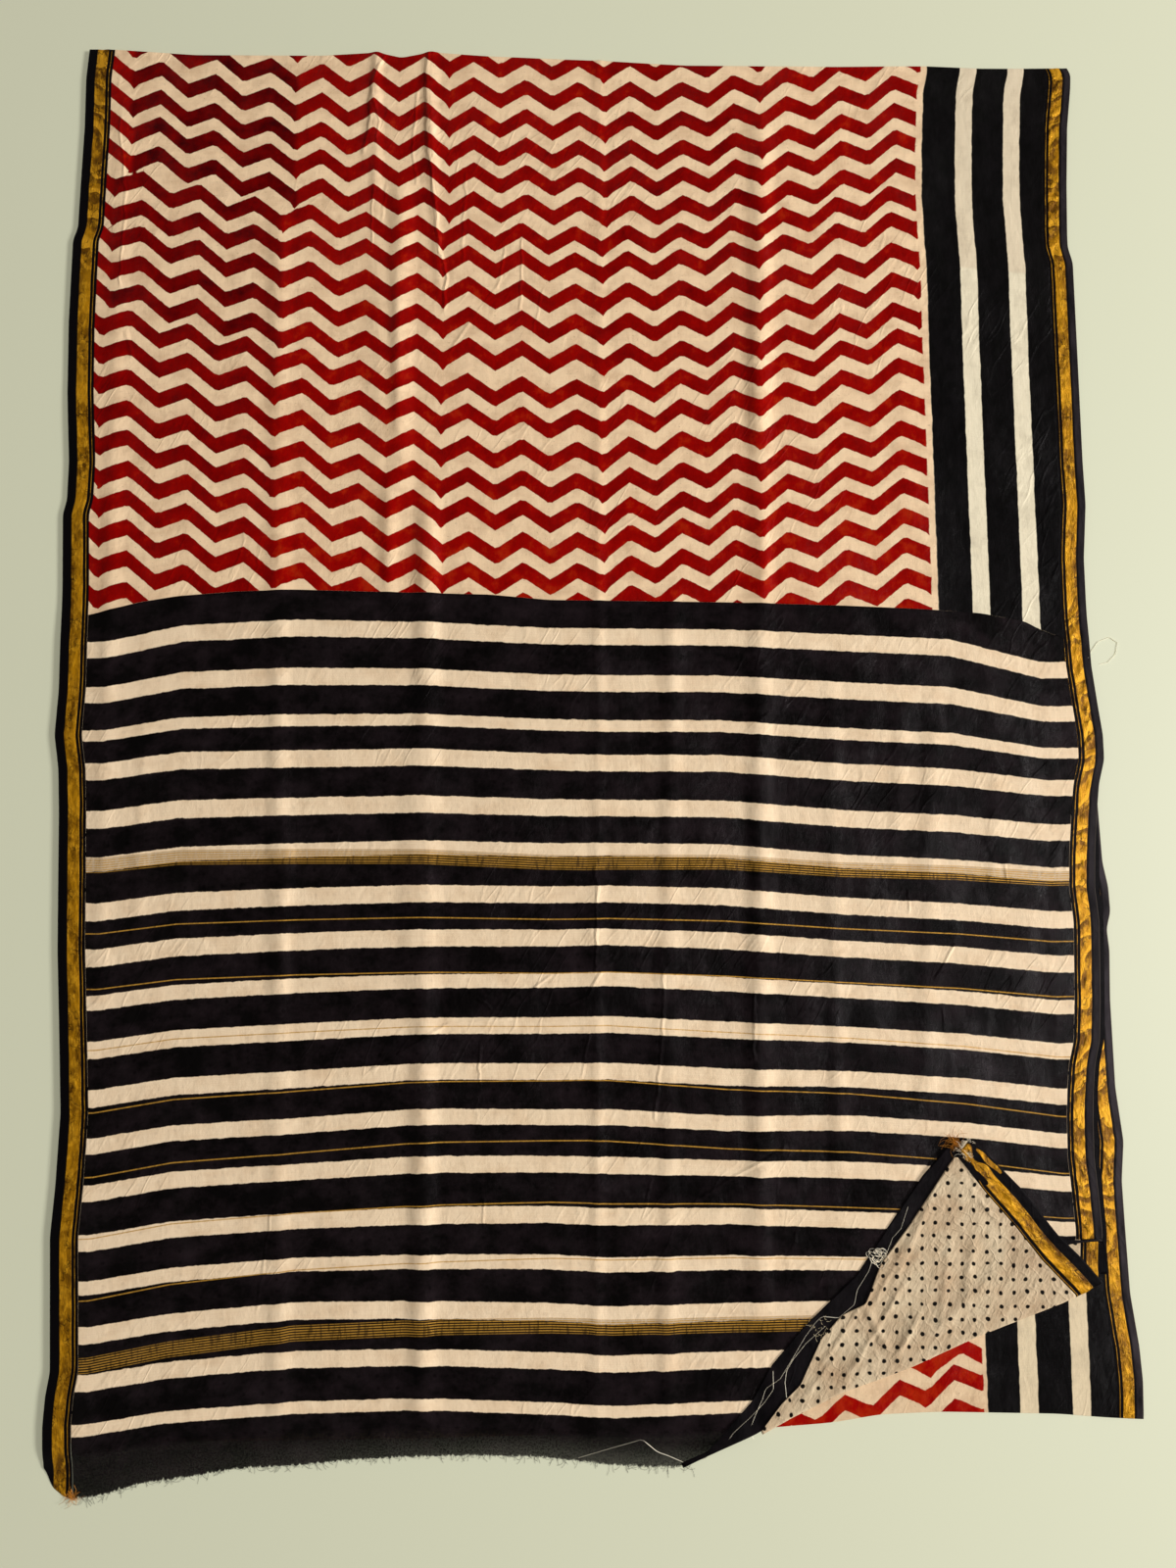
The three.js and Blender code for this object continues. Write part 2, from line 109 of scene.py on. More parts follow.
def measured_line(points, soft=8):
    """The other coordinate of a measured line: straight between its points, then averaged with a
    Hann window that reaches soft millimetres to each side."""
    at, value = np.array(points, float).T
    fine = np.arange(at[0] - 80, at[-1] + 80)
    window = np.hanning(2 * soft + 1)
    padded = np.pad(np.interp(fine, at, value), soft, mode="edge")
    smooth = np.convolve(padded, window / window.sum(), "valid")
    return lambda where: np.interp(where, fine, smooth)


def ease(value, low, high):
    """0 below low, 1 above high, and 3t^2 - 2t^3 between."""
    t = np.clip((value - low) / (high - low), 0, 1)
    return t * t * (3 - 2 * t)


left_edge = measured_line(LEFT_EDGE)
right_edge = measured_line(RIGHT_EDGE)
under_right_edge = measured_line(UNDER_RIGHT_EDGE)
top_fold = measured_line(TOP_FOLD)
bottom_fold = measured_line(BOTTOM_FOLD, 20)


def creases(x, y):
    """Sum of cosine bumps across each crease line, fading at both ends and uneven along it."""
    total = np.zeros_like(x)
    for k, (x_top, x_bottom, half, height, low, high) in enumerate(CREASES):
        line_x = (x_top + x_bottom) / 2 + (x_top - x_bottom) * y / CREASE_SPAN
        across = np.clip(np.abs(x - line_x) / half, 0, 1)
        along = ease(y, low, low + CREASE_RUN) * (1 - ease(y, high - CREASE_RUN, high))
        uneven = 1 - CREASE_UNEVEN + CREASE_UNEVEN * np.sin(y / CREASE_WAVE + 2 * k)
        total += height * 0.5 * (1 + np.cos(np.pi * across)) * along * uneven
    return total


def stack_top(x, y):
    """Height of the hidden layers: lower near the edges and folds, with the creases on it."""
    inside = np.minimum(HALF_WIDTH - np.abs(x), np.minimum(top_fold(x) - y, y - bottom_fold(x)))
    return STACK_HEIGHT - EDGE_DROP * (1 - ease(inside, 0, EDGE_RUN)) + creases(x, y)


def under_middle(x, y):
    """Middle of the under stretch's wall."""
    return stack_top(x, y) + GAP + WALL / 2


def cloth_mesh(name, x, y, z, u, v, keep=None, **facts):
    """A mesh on a grid of rows and columns, in millimetres. u and v are the place in the woven cloth,
    in metres, and facts are more values for each point. keep says which cells stay."""
    rows, columns = x.shape
    index = np.arange(rows * columns).reshape(rows, columns)
    quads = np.stack([index[:-1, :-1], index[:-1, 1:], index[1:, 1:], index[1:, :-1]], axis=-1)
    quads = quads[keep] if keep is not None else quads.reshape(-1, 4)
    used, faces = np.unique(quads, return_inverse=True)
    points = np.stack([x, y, z], axis=-1).reshape(-1, 3)[used] * MM
    mesh = bpy.data.meshes.new(name)
    mesh.from_pydata(points.tolist(), [], faces.reshape(-1, 4).tolist())
    cloth = np.stack([u, v], axis=-1).reshape(-1, 2)[used]
    corner = np.zeros(len(mesh.loops), np.int32)
    mesh.loops.foreach_get("vertex_index", corner)
    mesh.uv_layers.new(name="cloth").data.foreach_set("uv", cloth[corner].ravel().astype(np.float32))
    for label, values in facts.items():
        layer = mesh.attributes.new(label, "FLOAT", "POINT")
        layer.data.foreach_set("value", np.asarray(values, np.float32).ravel()[used])
    mesh.polygons.foreach_set("use_smooth", np.ones(len(mesh.polygons), bool))
    piece = bpy.data.objects.new(name, mesh)
    scene.collection.objects.link(piece)
    return piece


def finish_cloth(piece, material, nodes, thick=CLOTH_THICK):
    """Gives a sheet its wall and material, hangs it on the root body, and hides the parts of the nodes
    it stands for."""
    wall = piece.modifiers.new("wall", "SOLIDIFY")
    wall.thickness = thick * MM
    wall.offset = 0
    piece.data.materials.append(material)
    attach(piece, "root")
    if nodes:
        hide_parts(*nodes)
    return piece


class Field:
    """A value that changes over the cloth, as a shader socket. Arithmetic on it makes Math nodes."""

    def __init__(self, tree, socket):
        self.tree, self.socket = tree, socket

    def math(self, operation, *others, clamp=False):
        made = self.tree.nodes.new("ShaderNodeMath")
        made.operation, made.use_clamp = operation, clamp
        for place, value in zip(made.inputs, (self, *others)):
            if isinstance(value, Field):
                self.tree.links.new(value.socket, place)
            else:
                place.default_value = value
        return Field(self.tree, made.outputs[0])

    def __add__(self, other):
        return self.math("ADD", other)

    def __sub__(self, other):
        return self.math("SUBTRACT", other)

    def __mul__(self, other):
        return self.math("MULTIPLY", other)

    def __truediv__(self, other):
        return self.math("DIVIDE", other)

    def size(self):
        return self.math("ABSOLUTE")

    def over(self, edge, soft):
        """0 below the edge and 1 above it, with a ramp that is 2 soft wide."""
        return ((self - edge) / (2 * soft)).math("ADD", 0.5, clamp=True)

    def under(self, edge, soft):
        return (self * -1).over(-edge, soft)

    def both(self, other):
        return self.math("MULTIPLY", other)

    def either(self, other):
        return self.math("MAXIMUM", other)


def new_material(name):
    """An empty material with its shader, and the tree that its fields go in."""
    material = bpy.data.materials.new(name)
    material.use_nodes = True
    tree = material.node_tree
    return material, tree, tree.nodes["Principled BSDF"]


def fact(tree, label):
    """A value that the mesh holds for each point."""
    made = tree.nodes.new("ShaderNodeAttribute")
    made.attribute_name = label
    return Field(tree, made.outputs["Fac"])


def cloth_place(tree):
    """Place in the woven cloth, in metres: across it, and along it."""
    uv = tree.nodes.new("ShaderNodeUVMap")
    uv.uv_map = "cloth"
    parts = tree.nodes.new("ShaderNodeSeparateXYZ")
    tree.links.new(uv.outputs["UV"], parts.inputs[0])
    return Field(tree, parts.outputs["X"]), Field(tree, parts.outputs["Y"])


def vector(tree, *values):
    """Up to three values or fields as one vector."""
    made = tree.nodes.new("ShaderNodeCombineXYZ")
    for place, value in zip(made.inputs, values):
        if isinstance(value, Field):
            tree.links.new(value.socket, place)
        else:
            place.default_value = value
    return made.outputs[0]


def mottle(tree, u, v, scale_u, scale_v, seed=0.0, detail=3.0, rough=0.55):
    """Smooth noise from 0 to 1, with so many waves a metre across and along the cloth."""
    made = tree.nodes.new("ShaderNodeTexNoise")
    made.noise_dimensions = "3D"
    made.inputs["Scale"].default_value = 1.0
    made.inputs["Detail"].default_value = detail
    made.inputs["Roughness"].default_value = rough
    tree.links.new(vector(tree, u * scale_u, v * scale_v, seed), made.inputs["Vector"])
    return Field(tree, made.outputs["Fac"])


def colour(hex_code):
    """A colour from its sRGB code, as the linear values that a shader takes."""
    parts = [int(hex_code[i:i + 2], 16) / 255 for i in (0, 2, 4)]
    return tuple(c / 12.92 if c <= 0.04045 else ((c + 0.055) / 1.055) ** 2.4 for c in parts) + (1.0,)


def tint(tree, share, first, second):
    """From the first colour to the second, by a share from 0 to 1."""
    made = tree.nodes.new("ShaderNodeMix")
    made.data_type = "RGBA"
    if isinstance(share, Field):
        tree.links.new(share.socket, made.inputs["Factor"])
    else:
        made.inputs["Factor"].default_value = share
    for label, value in (("A", first), ("B", second)):
        place = [s for s in made.inputs if s.name == label and s.type == "RGBA"][0]
        if isinstance(value, bpy.types.NodeSocket):
            tree.links.new(value, place)
        else:
            place.default_value = colour(value)
    return [s for s in made.outputs if s.type == "RGBA"][0]


def thread_group():
    """Plain weave: the height of threads that pass over and under each other, slubs along both, and
    the shallow wrinkles of handled silk."""
    group = bpy.data.node_groups.new("plain_weave", "ShaderNodeTree")
    for label in ("Across", "Along", "Threads a metre"):
        group.interface.new_socket(label, in_out="INPUT", socket_type="NodeSocketFloat")
    for label in ("Height", "Slub"):
        group.interface.new_socket(label, in_out="OUTPUT", socket_type="NodeSocketFloat")
    start, end = group.nodes.new("NodeGroupInput"), group.nodes.new("NodeGroupOutput")
    u, v, count = [Field(group, start.outputs[k]) for k in range(3)]
    waves = ((u * count) * np.pi).math("SINE") * ((v * count) * np.pi).math("SINE")
    weft = mottle(group, u, v, 14.0, 900.0, 3.0, 2.0)
    warp = mottle(group, u, v, 900.0, 14.0, 7.0, 2.0)
    wrinkles = mottle(group, u + v * 0.15, v, 24.0, 8.0, 15.0, 5.0, 0.6) * 10
    wrinkles = wrinkles + mottle(group, u - v * 0.5, v, 60.0, 34.0, 25.0, 3.0) * 4
    ridge = (mottle(group, u - v * 0.6, v, 30.0, 9.0, 31.0, 2.0) - 0.5).size().under(0.016, 0.016)
    wrinkles = wrinkles + ridge.both(mottle(group, u, v, 7.0, 7.0, 35.0, 1.0).over(0.54, 0.08)) * 1.6
    group.links.new((waves * 0.5 + weft * 0.5 + warp * 0.35 + wrinkles).socket, end.inputs["Height"])
    group.links.new((weft * 0.6 + warp * 0.4).socket, end.inputs["Slub"])
    return group


plain_weave = thread_group()


def weave(tree, u, v, threads=1700.0):
    """Height and slub of the weave at a place in the cloth."""
    made = tree.nodes.new("ShaderNodeGroup")
    made.node_tree = plain_weave
    for place, value in zip(made.inputs, (u, v)):
        tree.links.new(value.socket, place)
    made.inputs["Threads a metre"].default_value = threads
    return Field(tree, made.outputs["Height"]), Field(tree, made.outputs["Slub"])


def raise_up(tree, shader, height, depth, strength=1.0):
    """Bumps the surface by a height field of so many metres."""
    bump = tree.nodes.new("ShaderNodeBump")
    bump.inputs["Strength"].default_value = strength
    bump.inputs["Distance"].default_value = depth
    tree.links.new(height.socket, bump.inputs["Height"])
    tree.links.new(bump.outputs[0], shader.inputs["Normal"])


WEAVE_DEPTH = 0.0002  # metres that one unit of the weave's height stands for
FOLD_FADE = 6  # millimetres over which a sharp fold ends


def dot(tree, place, numbers):
    """Dot product of a place with three numbers."""
    made = tree.nodes.new("ShaderNodeVectorMath")
    made.operation = "DOT_PRODUCT"
    tree.links.new(place, made.inputs[0])
    made.inputs[1].default_value = numbers
    return Field(tree, made.outputs["Value"])


def fold_group(name, lines):
    """Height in millimetres of sharp folds, too fine for the mesh: a tent across each stretch of each
    line, faded at the stretch's ends, summed. A line has its height, half width and points."""
    group = bpy.data.node_groups.new(name, "ShaderNodeTree")
    group.interface.new_socket("Place", in_out="INPUT", socket_type="NodeSocketVector")
    group.interface.new_socket("Height", in_out="OUTPUT", socket_type="NodeSocketFloat")
    start, end = group.nodes.new("NodeGroupInput"), group.nodes.new("NodeGroupOutput")
    parts = group.nodes.new("ShaderNodeSeparateXYZ")
    group.links.new(start.outputs[0], parts.inputs[0])
    x, y = Field(group, parts.outputs["X"]) * 1000, Field(group, parts.outputs["Y"]) * 1000
    wander = (mottle(group, x, y, 0.05, 0.05, 3.0, 2.0) - 0.5) * 8
    place = vector(group, x + wander, y + wander * 0.5, 1.0)
    total = None
    for height, half, *points in lines:
        for (x0, y0), (x1, y1) in zip(points, points[1:]):
            run = np.hypot(x1 - x0, y1 - y0)
            way = np.array([x1 - x0, y1 - y0]) / run
            middle = np.array([x0 + x1, y0 + y1]) / 2
            along = dot(group, place, (way[0], way[1], -way @ middle)).size()
            offset = way[0] * middle[1] - way[1] * middle[0]
            away = dot(group, place, (way[1], -way[0], offset)).size()
            past = (run + FOLD_FADE) / 2 / FOLD_FADE
            fade = along.math("MULTIPLY_ADD", -1 / FOLD_FADE, past, clamp=True)
            tent = away.math("MULTIPLY_ADD", -1 / half, 1.0, clamp=True)
            fold = (tent * height).both(fade)
            total = fold if total is None else total + fold
    group.links.new(total.socket, end.inputs[0])
    return group


def folds(tree, group):
    """The folds' height in the weave's own units, by the place on the object."""
    place, made = tree.nodes.new("ShaderNodeTexCoord"), tree.nodes.new("ShaderNodeGroup")
    made.node_tree = group
    tree.links.new(place.outputs["Object"], made.inputs[0])
    return Field(tree, made.outputs[0]) * (MM / WEAVE_DEPTH)


SHEEN_TINT = 0.7  # how much of the cloth's own colour is in its shine


def satin(tree, shader, base, roughness=0.27, shine=None):
    """Colour and the soft shine of a silk weft, which takes the cloth's own colour. Where no shine is
    given, the cloth shines more where it was rubbed or folded, in streaks along its length."""
    if shine is None:
        u, v = cloth_place(tree)
        streaks = mottle(tree, u, v, 22.0, 7.0, 21.0, 5.0, 0.65).over(0.56, 0.1)
        shine = streaks.both(mottle(tree, u, v, 90.0, 40.0, 23.0, 3.0).over(0.45, 0.2)) * 0.3 + 0.04
    tree.links.new(base, shader.inputs["Base Color"])
    tree.links.new(tint(tree, SHEEN_TINT, "c8b8c0", base), shader.inputs["Specular Tint"])
    tree.links.new(shine.socket, shader.inputs["Specular IOR Level"])
    shader.inputs["Roughness"].default_value = roughness


def folded_cloth_material():
    material, tree, shader = new_material("folded_cloth")
    u, v = cloth_place(tree)
    height, slub = weave(tree, u, v)
    black_stripe = ((v / 0.05).math("FRACT") - 0.5).size().over(0.3, 0.02)
    cream = tint(tree, slub, "d9bd97", "eddcbf")
    satin(tree, shader, tint(tree, black_stripe, cream, "1c1719"))
    raise_up(tree, shader, height, WEAVE_DEPTH)
    return material


FOLDED_LOW, FOLDED_HIGH = 0.4, 1.7  # middles of the two stretches
FOLDED_FROM, FOLDED_TO = -706, 755  # their lower end, and the fold
FOLDED_INSET = 9  # inside the layers above
share = np.linspace(0, 1, 70)[:, None]
floor_y = FOLDED_FROM + share * (FOLDED_TO - FOLDED_FROM)
floor_wide = under_right_edge(floor_y) - 2 * FOLDED_INSET - left_edge(floor_y)
floor_x = left_edge(floor_y) + FOLDED_INSET + share.T * floor_wide
fold_angle = np.radians(np.linspace(-75, 75, 6))[:, None]
fold_radius = (FOLDED_HIGH - FOLDED_LOW) / 2
flat_top = np.repeat(floor_x[-1:], len(fold_angle), axis=0)
folded_x = np.concatenate([floor_x, flat_top, floor_x[::-1]])
folded_y = np.concatenate([
    floor_y + 0 * floor_x,
    FOLDED_TO + fold_radius * np.cos(fold_angle) + 0 * flat_top,
    (floor_y + 0 * floor_x)[::-1],
])
folded_z = np.concatenate([
    np.full_like(floor_x, FOLDED_LOW),
    (FOLDED_LOW + FOLDED_HIGH) / 2 + fold_radius * np.sin(fold_angle) + 0 * flat_top,
    np.full_like(floor_x, FOLDED_HIGH),
])
folded_along = np.cumsum(np.hypot(np.diff(folded_y[:, 0], prepend=folded_y[0, 0]), 0.2))[:, None]
folded = cloth_mesh("folded_layers", folded_x, folded_y, folded_z,
                    folded_x * MM, (folded_along + 0 * folded_x) * MM)
finish_cloth(folded, folded_cloth_material(), ["hidden_layers"])


# Under stretch: the body's next stretch, reverse side up, with the same zigzag block print in brick
# red on cream, a cream margin and black and cream stripes beside its right border. It hangs together
# with the top sheet at the top fold, and its own fold at the bottom leads into the hidden layers.
BORDER_WIDTH = 28
BAND_THICK = 17.8
UNDER_BAND_THICK = 15.9
BAND_DEPTH = 19.5  # from a peak of the zigzag down to the line between its troughs
# Each block of the print: its rows' Y in the middle of the cloth and how much lower their left ends
# run, then every second peak of the zigzag as X and how much higher the rows lie there, and how bright
# the red is in each block width
PRINT_BLOCKS = (
    (((767, 0), (731, 0), (696, 0), (662, 0), (630, 0), (596, 0)),
     ((-591, 77), (-471, 53), (-350, 24), (-235, 10), (-124, 4), (-6, 0),
      (110, 1), (229, 20), (352, 47)),
     (0.6, 0.26, 0.55, 0.6, 0.5, 0.6, 0.65)),
    (((560, 5), (529, 7), (493, 1), (458, 0), (423, -2)),
     ((-612, 102), (-488, 64), (-365, 34), (-243, 14), (-130, 7), (-12, 0),
      (105, 6), (222, 24), (343, 51)),
     (0.55, 0.34, 0.6, 0.6, 0.55, 0.6, 0.65)),
    (((383, 4), (349, 3), (312, 0), (277, 0), (244, 0)),
     ((-620, 118), (-498, 80), (-372, 49), (-249, 20), (-131, 6), (-12, 0),
      (103, 13), (220, 33), (346, 61)),
     (0.5, 0.46, 0.65, 0.6, 0.6, 0.65, 0.7)),
    (((211, 2), (177, 0), (144, 0), (110, 0), (76, 0), (42, 0)),
     ((-618, 114), (-496, 80), (-371, 50), (-246, 17), (-130, 1), (-12, 0),
      (102, 15), (218, 34), (347, 61)),
     (0.6, 0.55, 0.7, 0.7, 0.65, 0.7, 0.75)),
)
UNDER_BLOCKS = (
    (((-540, 0), (-575, 0), (-610, 0), (-641, 0)),
     ((-500, 60), (-370, 40), (-250, 20), (-130, 6), (-12, -4), (125, -22), (243, -12), (377, 0)),
     (0.8, 0.8, 0.8, 0.8, 0.8, 0.85, 0.9)),
    (((-668, 0), (-702, 0), (-736, 0)),
     ((-500, 60), (-370, 40), (-250, 20), (-130, 6), (-12, -20), (140, -52), (254, -27), (369, 0)),
     (0.8, 0.8, 0.8, 0.8, 0.8, 0.7, 0.8)),
)
LEFT_FALL_FROM, LEFT_FALL_RUN = -240, 250  # where the left ends begin to run lower
PEAK_PITCH = 120  # every second peak, past the last measured one
COLUMN_PEAKS = 3  # peaks of the zigzag in one block's width
STUB, STUB_REACH = 3.5, 0.09  # where two blocks meet, the ink runs down a little
BLOCK_SHIFT = 0.9  # how far a block is out of line
PRINT_END = 0.375  # the print's right end, the margin's, and the stripes beside it, in metres
MARGIN_END = 0.382
UNDER_PRINT_END, UNDER_MARGIN_END = 0.382, 0.386
SIDE_STRIPES = ((0.420, 0.439), (0.475, 0.494))
STRIPES_SLANT = 0.33  # their lower ends follow the slant of the pallu's edge
HANDLED_FROM = 0.532  # above an old fold, these stripes are duller from handling
RIM_SHARE = 0.0004  # of a sheet's width or length


def zigzag_distance(x, y, blocks, seed, thick=BAND_THICK):
    """Millimetres outside the nearest band, below 0 inside it, and the red's brightness there. A
    band's middle is a triangle wave through the block's peaks, a little out of line in each block."""
    nearest = np.full(x.shape, 1e3)
    bright = np.zeros(x.shape)
    rng = np.random.default_rng(seed)
    for rows, peaks, tones in blocks:
        peak_x, lift = np.array(peaks, float).T
        peak_x = np.append(peak_x, peak_x[-1] + PEAK_PITCH)
        lift = np.append(lift, 2 * lift[-1] - lift[-2])
        count = np.interp(x, peak_x, np.arange(-2, 2 * len(lift) - 2, 2))
        column = (count + 0.5) / COLUMN_PEAKS
        join_near = np.abs(column - np.round(column)) * COLUMN_PEAKS
        column = np.clip(np.floor(column).astype(int) + 1, 0, len(tones) - 1)
        tone = np.array(tones)[column]
        shift = rng.uniform(-BLOCK_SHIFT, BLOCK_SHIFT, len(tones))[column]
        stub = STUB * np.clip(1 - join_near / STUB_REACH, 0, 1)
        down = np.abs(count - np.round(count)) * 2 * BAND_DEPTH
        left_share = np.clip((LEFT_FALL_FROM - x) / LEFT_FALL_RUN, 0, 1.3)
        for row, left_fall in rows:
            above = y - (row + shift + np.interp(x, peak_x, lift) - down - left_fall * left_share)
            away = np.where(above > 0, above, -above - stub) - thick / 2
            bright = np.where(away < nearest, tone, bright)
            nearest = np.minimum(nearest, away)
    return nearest, bright


def side_stripe(tree, u, v, low, high):
    """1 inside a stripe between two places across the cloth, with a wavering edge."""
    wobble = (mottle(tree, u, v, 60, 60, 9.0, 3.0) - 0.5) * 0.0026
    return (u + wobble - (low + high) / 2).size().under((high - low) / 2, 0.0004)


def print_material(name, print_end=PRINT_END, margin_end=MARGIN_END, stripes_end=None,
                   fold_lines=None, creams=("edc8a0", "fcdfba"), pales=("e4d6b7", "f8ecd2")):
    """Cream silk-cotton with a hand block print in red, and black beside it at the right, where the
    paler stripes end in the black at stripes_end."""
    material, tree, shader = new_material(name)
    u, v = cloth_place(tree)
    height, slub = weave(tree, u, v)
    smudge = mottle(tree, u, v, 30, 42, 1.0, 5.0, 0.6)
    specks = mottle(tree, u, v, 260, 420, 6.0, 2.0).over(0.69, 0.02)
    cream = tint(tree, slub, *creams)
    cream = tint(tree, smudge.over(0.57, 0.13) * 0.5, cream, "c09a78")
    cream = tint(tree, specks * 0.35, cream, "8d7357")
    ragged = (mottle(tree, u, v, 150, 150, 11.0, 3.0) - 0.5) * 2.2
    bands = (fact(tree, "band_mm") + ragged).under(0.0, 0.35)
    # A mottle for the red's uneven tone, and for painted sheen on the black
    wear_and_sheen = mottle(tree, u, v, 62, 50, 8.0, 5.0, 0.65)
    tone = fact(tree, "bright") + (smudge - 0.5) * 0.8 + (wear_and_sheen - 0.5) * 0.5
    red = tint(tree, tone.over(0.42, 0.34), "3c0003", "980703")
    red = tint(tree, (tone + wear_and_sheen).over(1.36, 0.14) * 0.45, red, "b8330f")
    edge_u = u + (mottle(tree, u, v, 60, 60, 9.5, 3.0) - 0.5) * 0.003
    bands = bands.both(edge_u.under(print_end, 0.0005))
    black = edge_u.over(margin_end, 0.0005)
    pale = tint(tree, slub, *pales)
    pale = tint(tree, smudge.over(0.64, 0.14) * 0.4, pale, "a89a82")
    pale = tint(tree, v.over(HANDLED_FROM, 0.0015) * 0.3, pale, "c9a888")
    cream = tint(tree, black, cream, pale)
    for low, high in SIDE_STRIPES:
        stripe = side_stripe(tree, u, v, low, high)
        if stripes_end is not None:
            lower_end = stripes_end - (low - SIDE_STRIPES[0][0]) * STRIPES_SLANT
            stripe = stripe.both(v.over(lower_end, 0.0006))
        black = black.both((stripe * -1) + 1)
    # Painted sheen: the black is lighter in purple-grey patches where the silk would shine
    ink = tint(tree, wear_and_sheen.over(0.6, 0.2) * 0.4, "0b0a0a", "1d191c")
    base = tint(tree, bands, cream, red)
    satin(tree, shader, tint(tree, black, base, ink))
    if fold_lines is not None:
        height = height + folds(tree, fold_group(name + "_folds", fold_lines))
    raise_up(tree, shader, height, WEAVE_DEPTH)
    return material


def edged(count):
    """So many shares from 0 to 1, the first and last of them close to the next, so that the shading of
    the cloth's rim stays at the edge."""
    return np.concatenate([[0], np.linspace(RIM_SHARE, 1 - RIM_SHARE, count - 2), [1]])


def sheet_grid(x_left, x_right, low, high, rows, columns, start=0.0, crowd=1.0, dense=None):
    """Rows and columns between two lines across the cloth and two edges along it, closer together
    at the lower right where crowd is over 1, or 3 times as close between two shares of the width that
    dense gives. X and Y depend on each other, so they are found in a few rounds, from X at start."""
    t = edged(rows)[:, None] ** crowd
    s = 1 - (1 - edged(columns)[None, :]) ** crowd
    if dense is not None:
        fine = np.linspace(0, 1, 1000)
        weight = np.cumsum(1 + 2.0 * ((fine > dense[0]) & (fine < dense[1])))
        s = np.interp(s, (weight - weight[0]) / (weight[-1] - weight[0]), fine)
    x = start + 0 * (s + t)
    for _ in range(4):
        y = low(x) + t * (high(x) - low(x))
        x = x_left(y) + s * (x_right(y) - x_left(y))
    return x, y


def roll_rows(x, y, z, drop, out):
    """Half a turn of cloth down from its last row: a circle drop high, outward in the direction out
    of Y. Gives rows from the sheet's level to drop below it."""
    angle = np.radians(np.linspace(90, -90, 9))[1:, None]
    radius = drop / 2
    roll_x = np.repeat(x[None, :], len(angle), axis=0)
    roll_y = y[None, :] + out * radius * np.cos(angle)
    roll_z = z[None, :] - radius + radius * np.sin(angle)
    return roll_x, roll_y, roll_z


def join(*parts):
    """Puts stretches of a sheet one after the other, row after row."""
    return [np.concatenate(same) for same in zip(*parts)]


UNDER_INSET = 4  # at the left it stays inside the top sheet


def under_left_edge(y):
    return left_edge(y) + UNDER_INSET


def under_inner_edge(y):
    return under_right_edge(y) - BORDER_WIDTH


def under_cloth(x_left, x_right, rows, columns, crowd=1.0):
    """The under stretch between two edges: a roll at its bottom fold, then up to the top fold."""
    x, y = sheet_grid(x_left, x_right, lambda x: bottom_fold(x) + FOLD_OUT,
                      lambda x: top_fold(x) - FOLD_OUT - 0.4, rows, columns, crowd=crowd)
    z = under_middle(x, y)
    bottom = [part[::-1] for part in roll_rows(x[0], y[0], z[0], LAYER, -1)]
    return join(bottom, (x, y, z))


under_x, under_y, under_z = under_cloth(under_left_edge, under_inner_edge, 170, 150, crowd=2.0)
UNDER_SHIFT = 17  # its stripes lie this far to the right of the top sheet's
under_band, under_bright = zigzag_distance(under_x, under_y, UNDER_BLOCKS, 5, UNDER_BAND_THICK)
under = cloth_mesh("under_stretch_cloth", under_x, under_y, under_z, (under_x - UNDER_SHIFT) * MM,
                   under_y * MM, band_mm=under_band, bright=under_bright)
under_print = print_material("under_print", UNDER_PRINT_END, UNDER_MARGIN_END,
                             creams=("dfbd97", "efd2ae"), pales=("d8c4a2", "e9d5b4"))
finish_cloth(under, under_print, ["under_stretch"])


# Woven borders: a black selvedge, a band of gold zari thread and a thin inner line with one gold hair,
# woven in one with the cloth. The zari is stiffer than the silk beside it, so it crinkles.
ZARI = (9.5, 21.5)  # millimetres in from the woven edge
ZARI_SPREAD = 7.5  # how far from the band's middle the crinkles reach
SMOOTH_SHARE = 0.25  # of the crinkles, where the zari lies smooth
INNER_HAIR = (24.4, 25.2)
BORDER_COLUMNS = 17


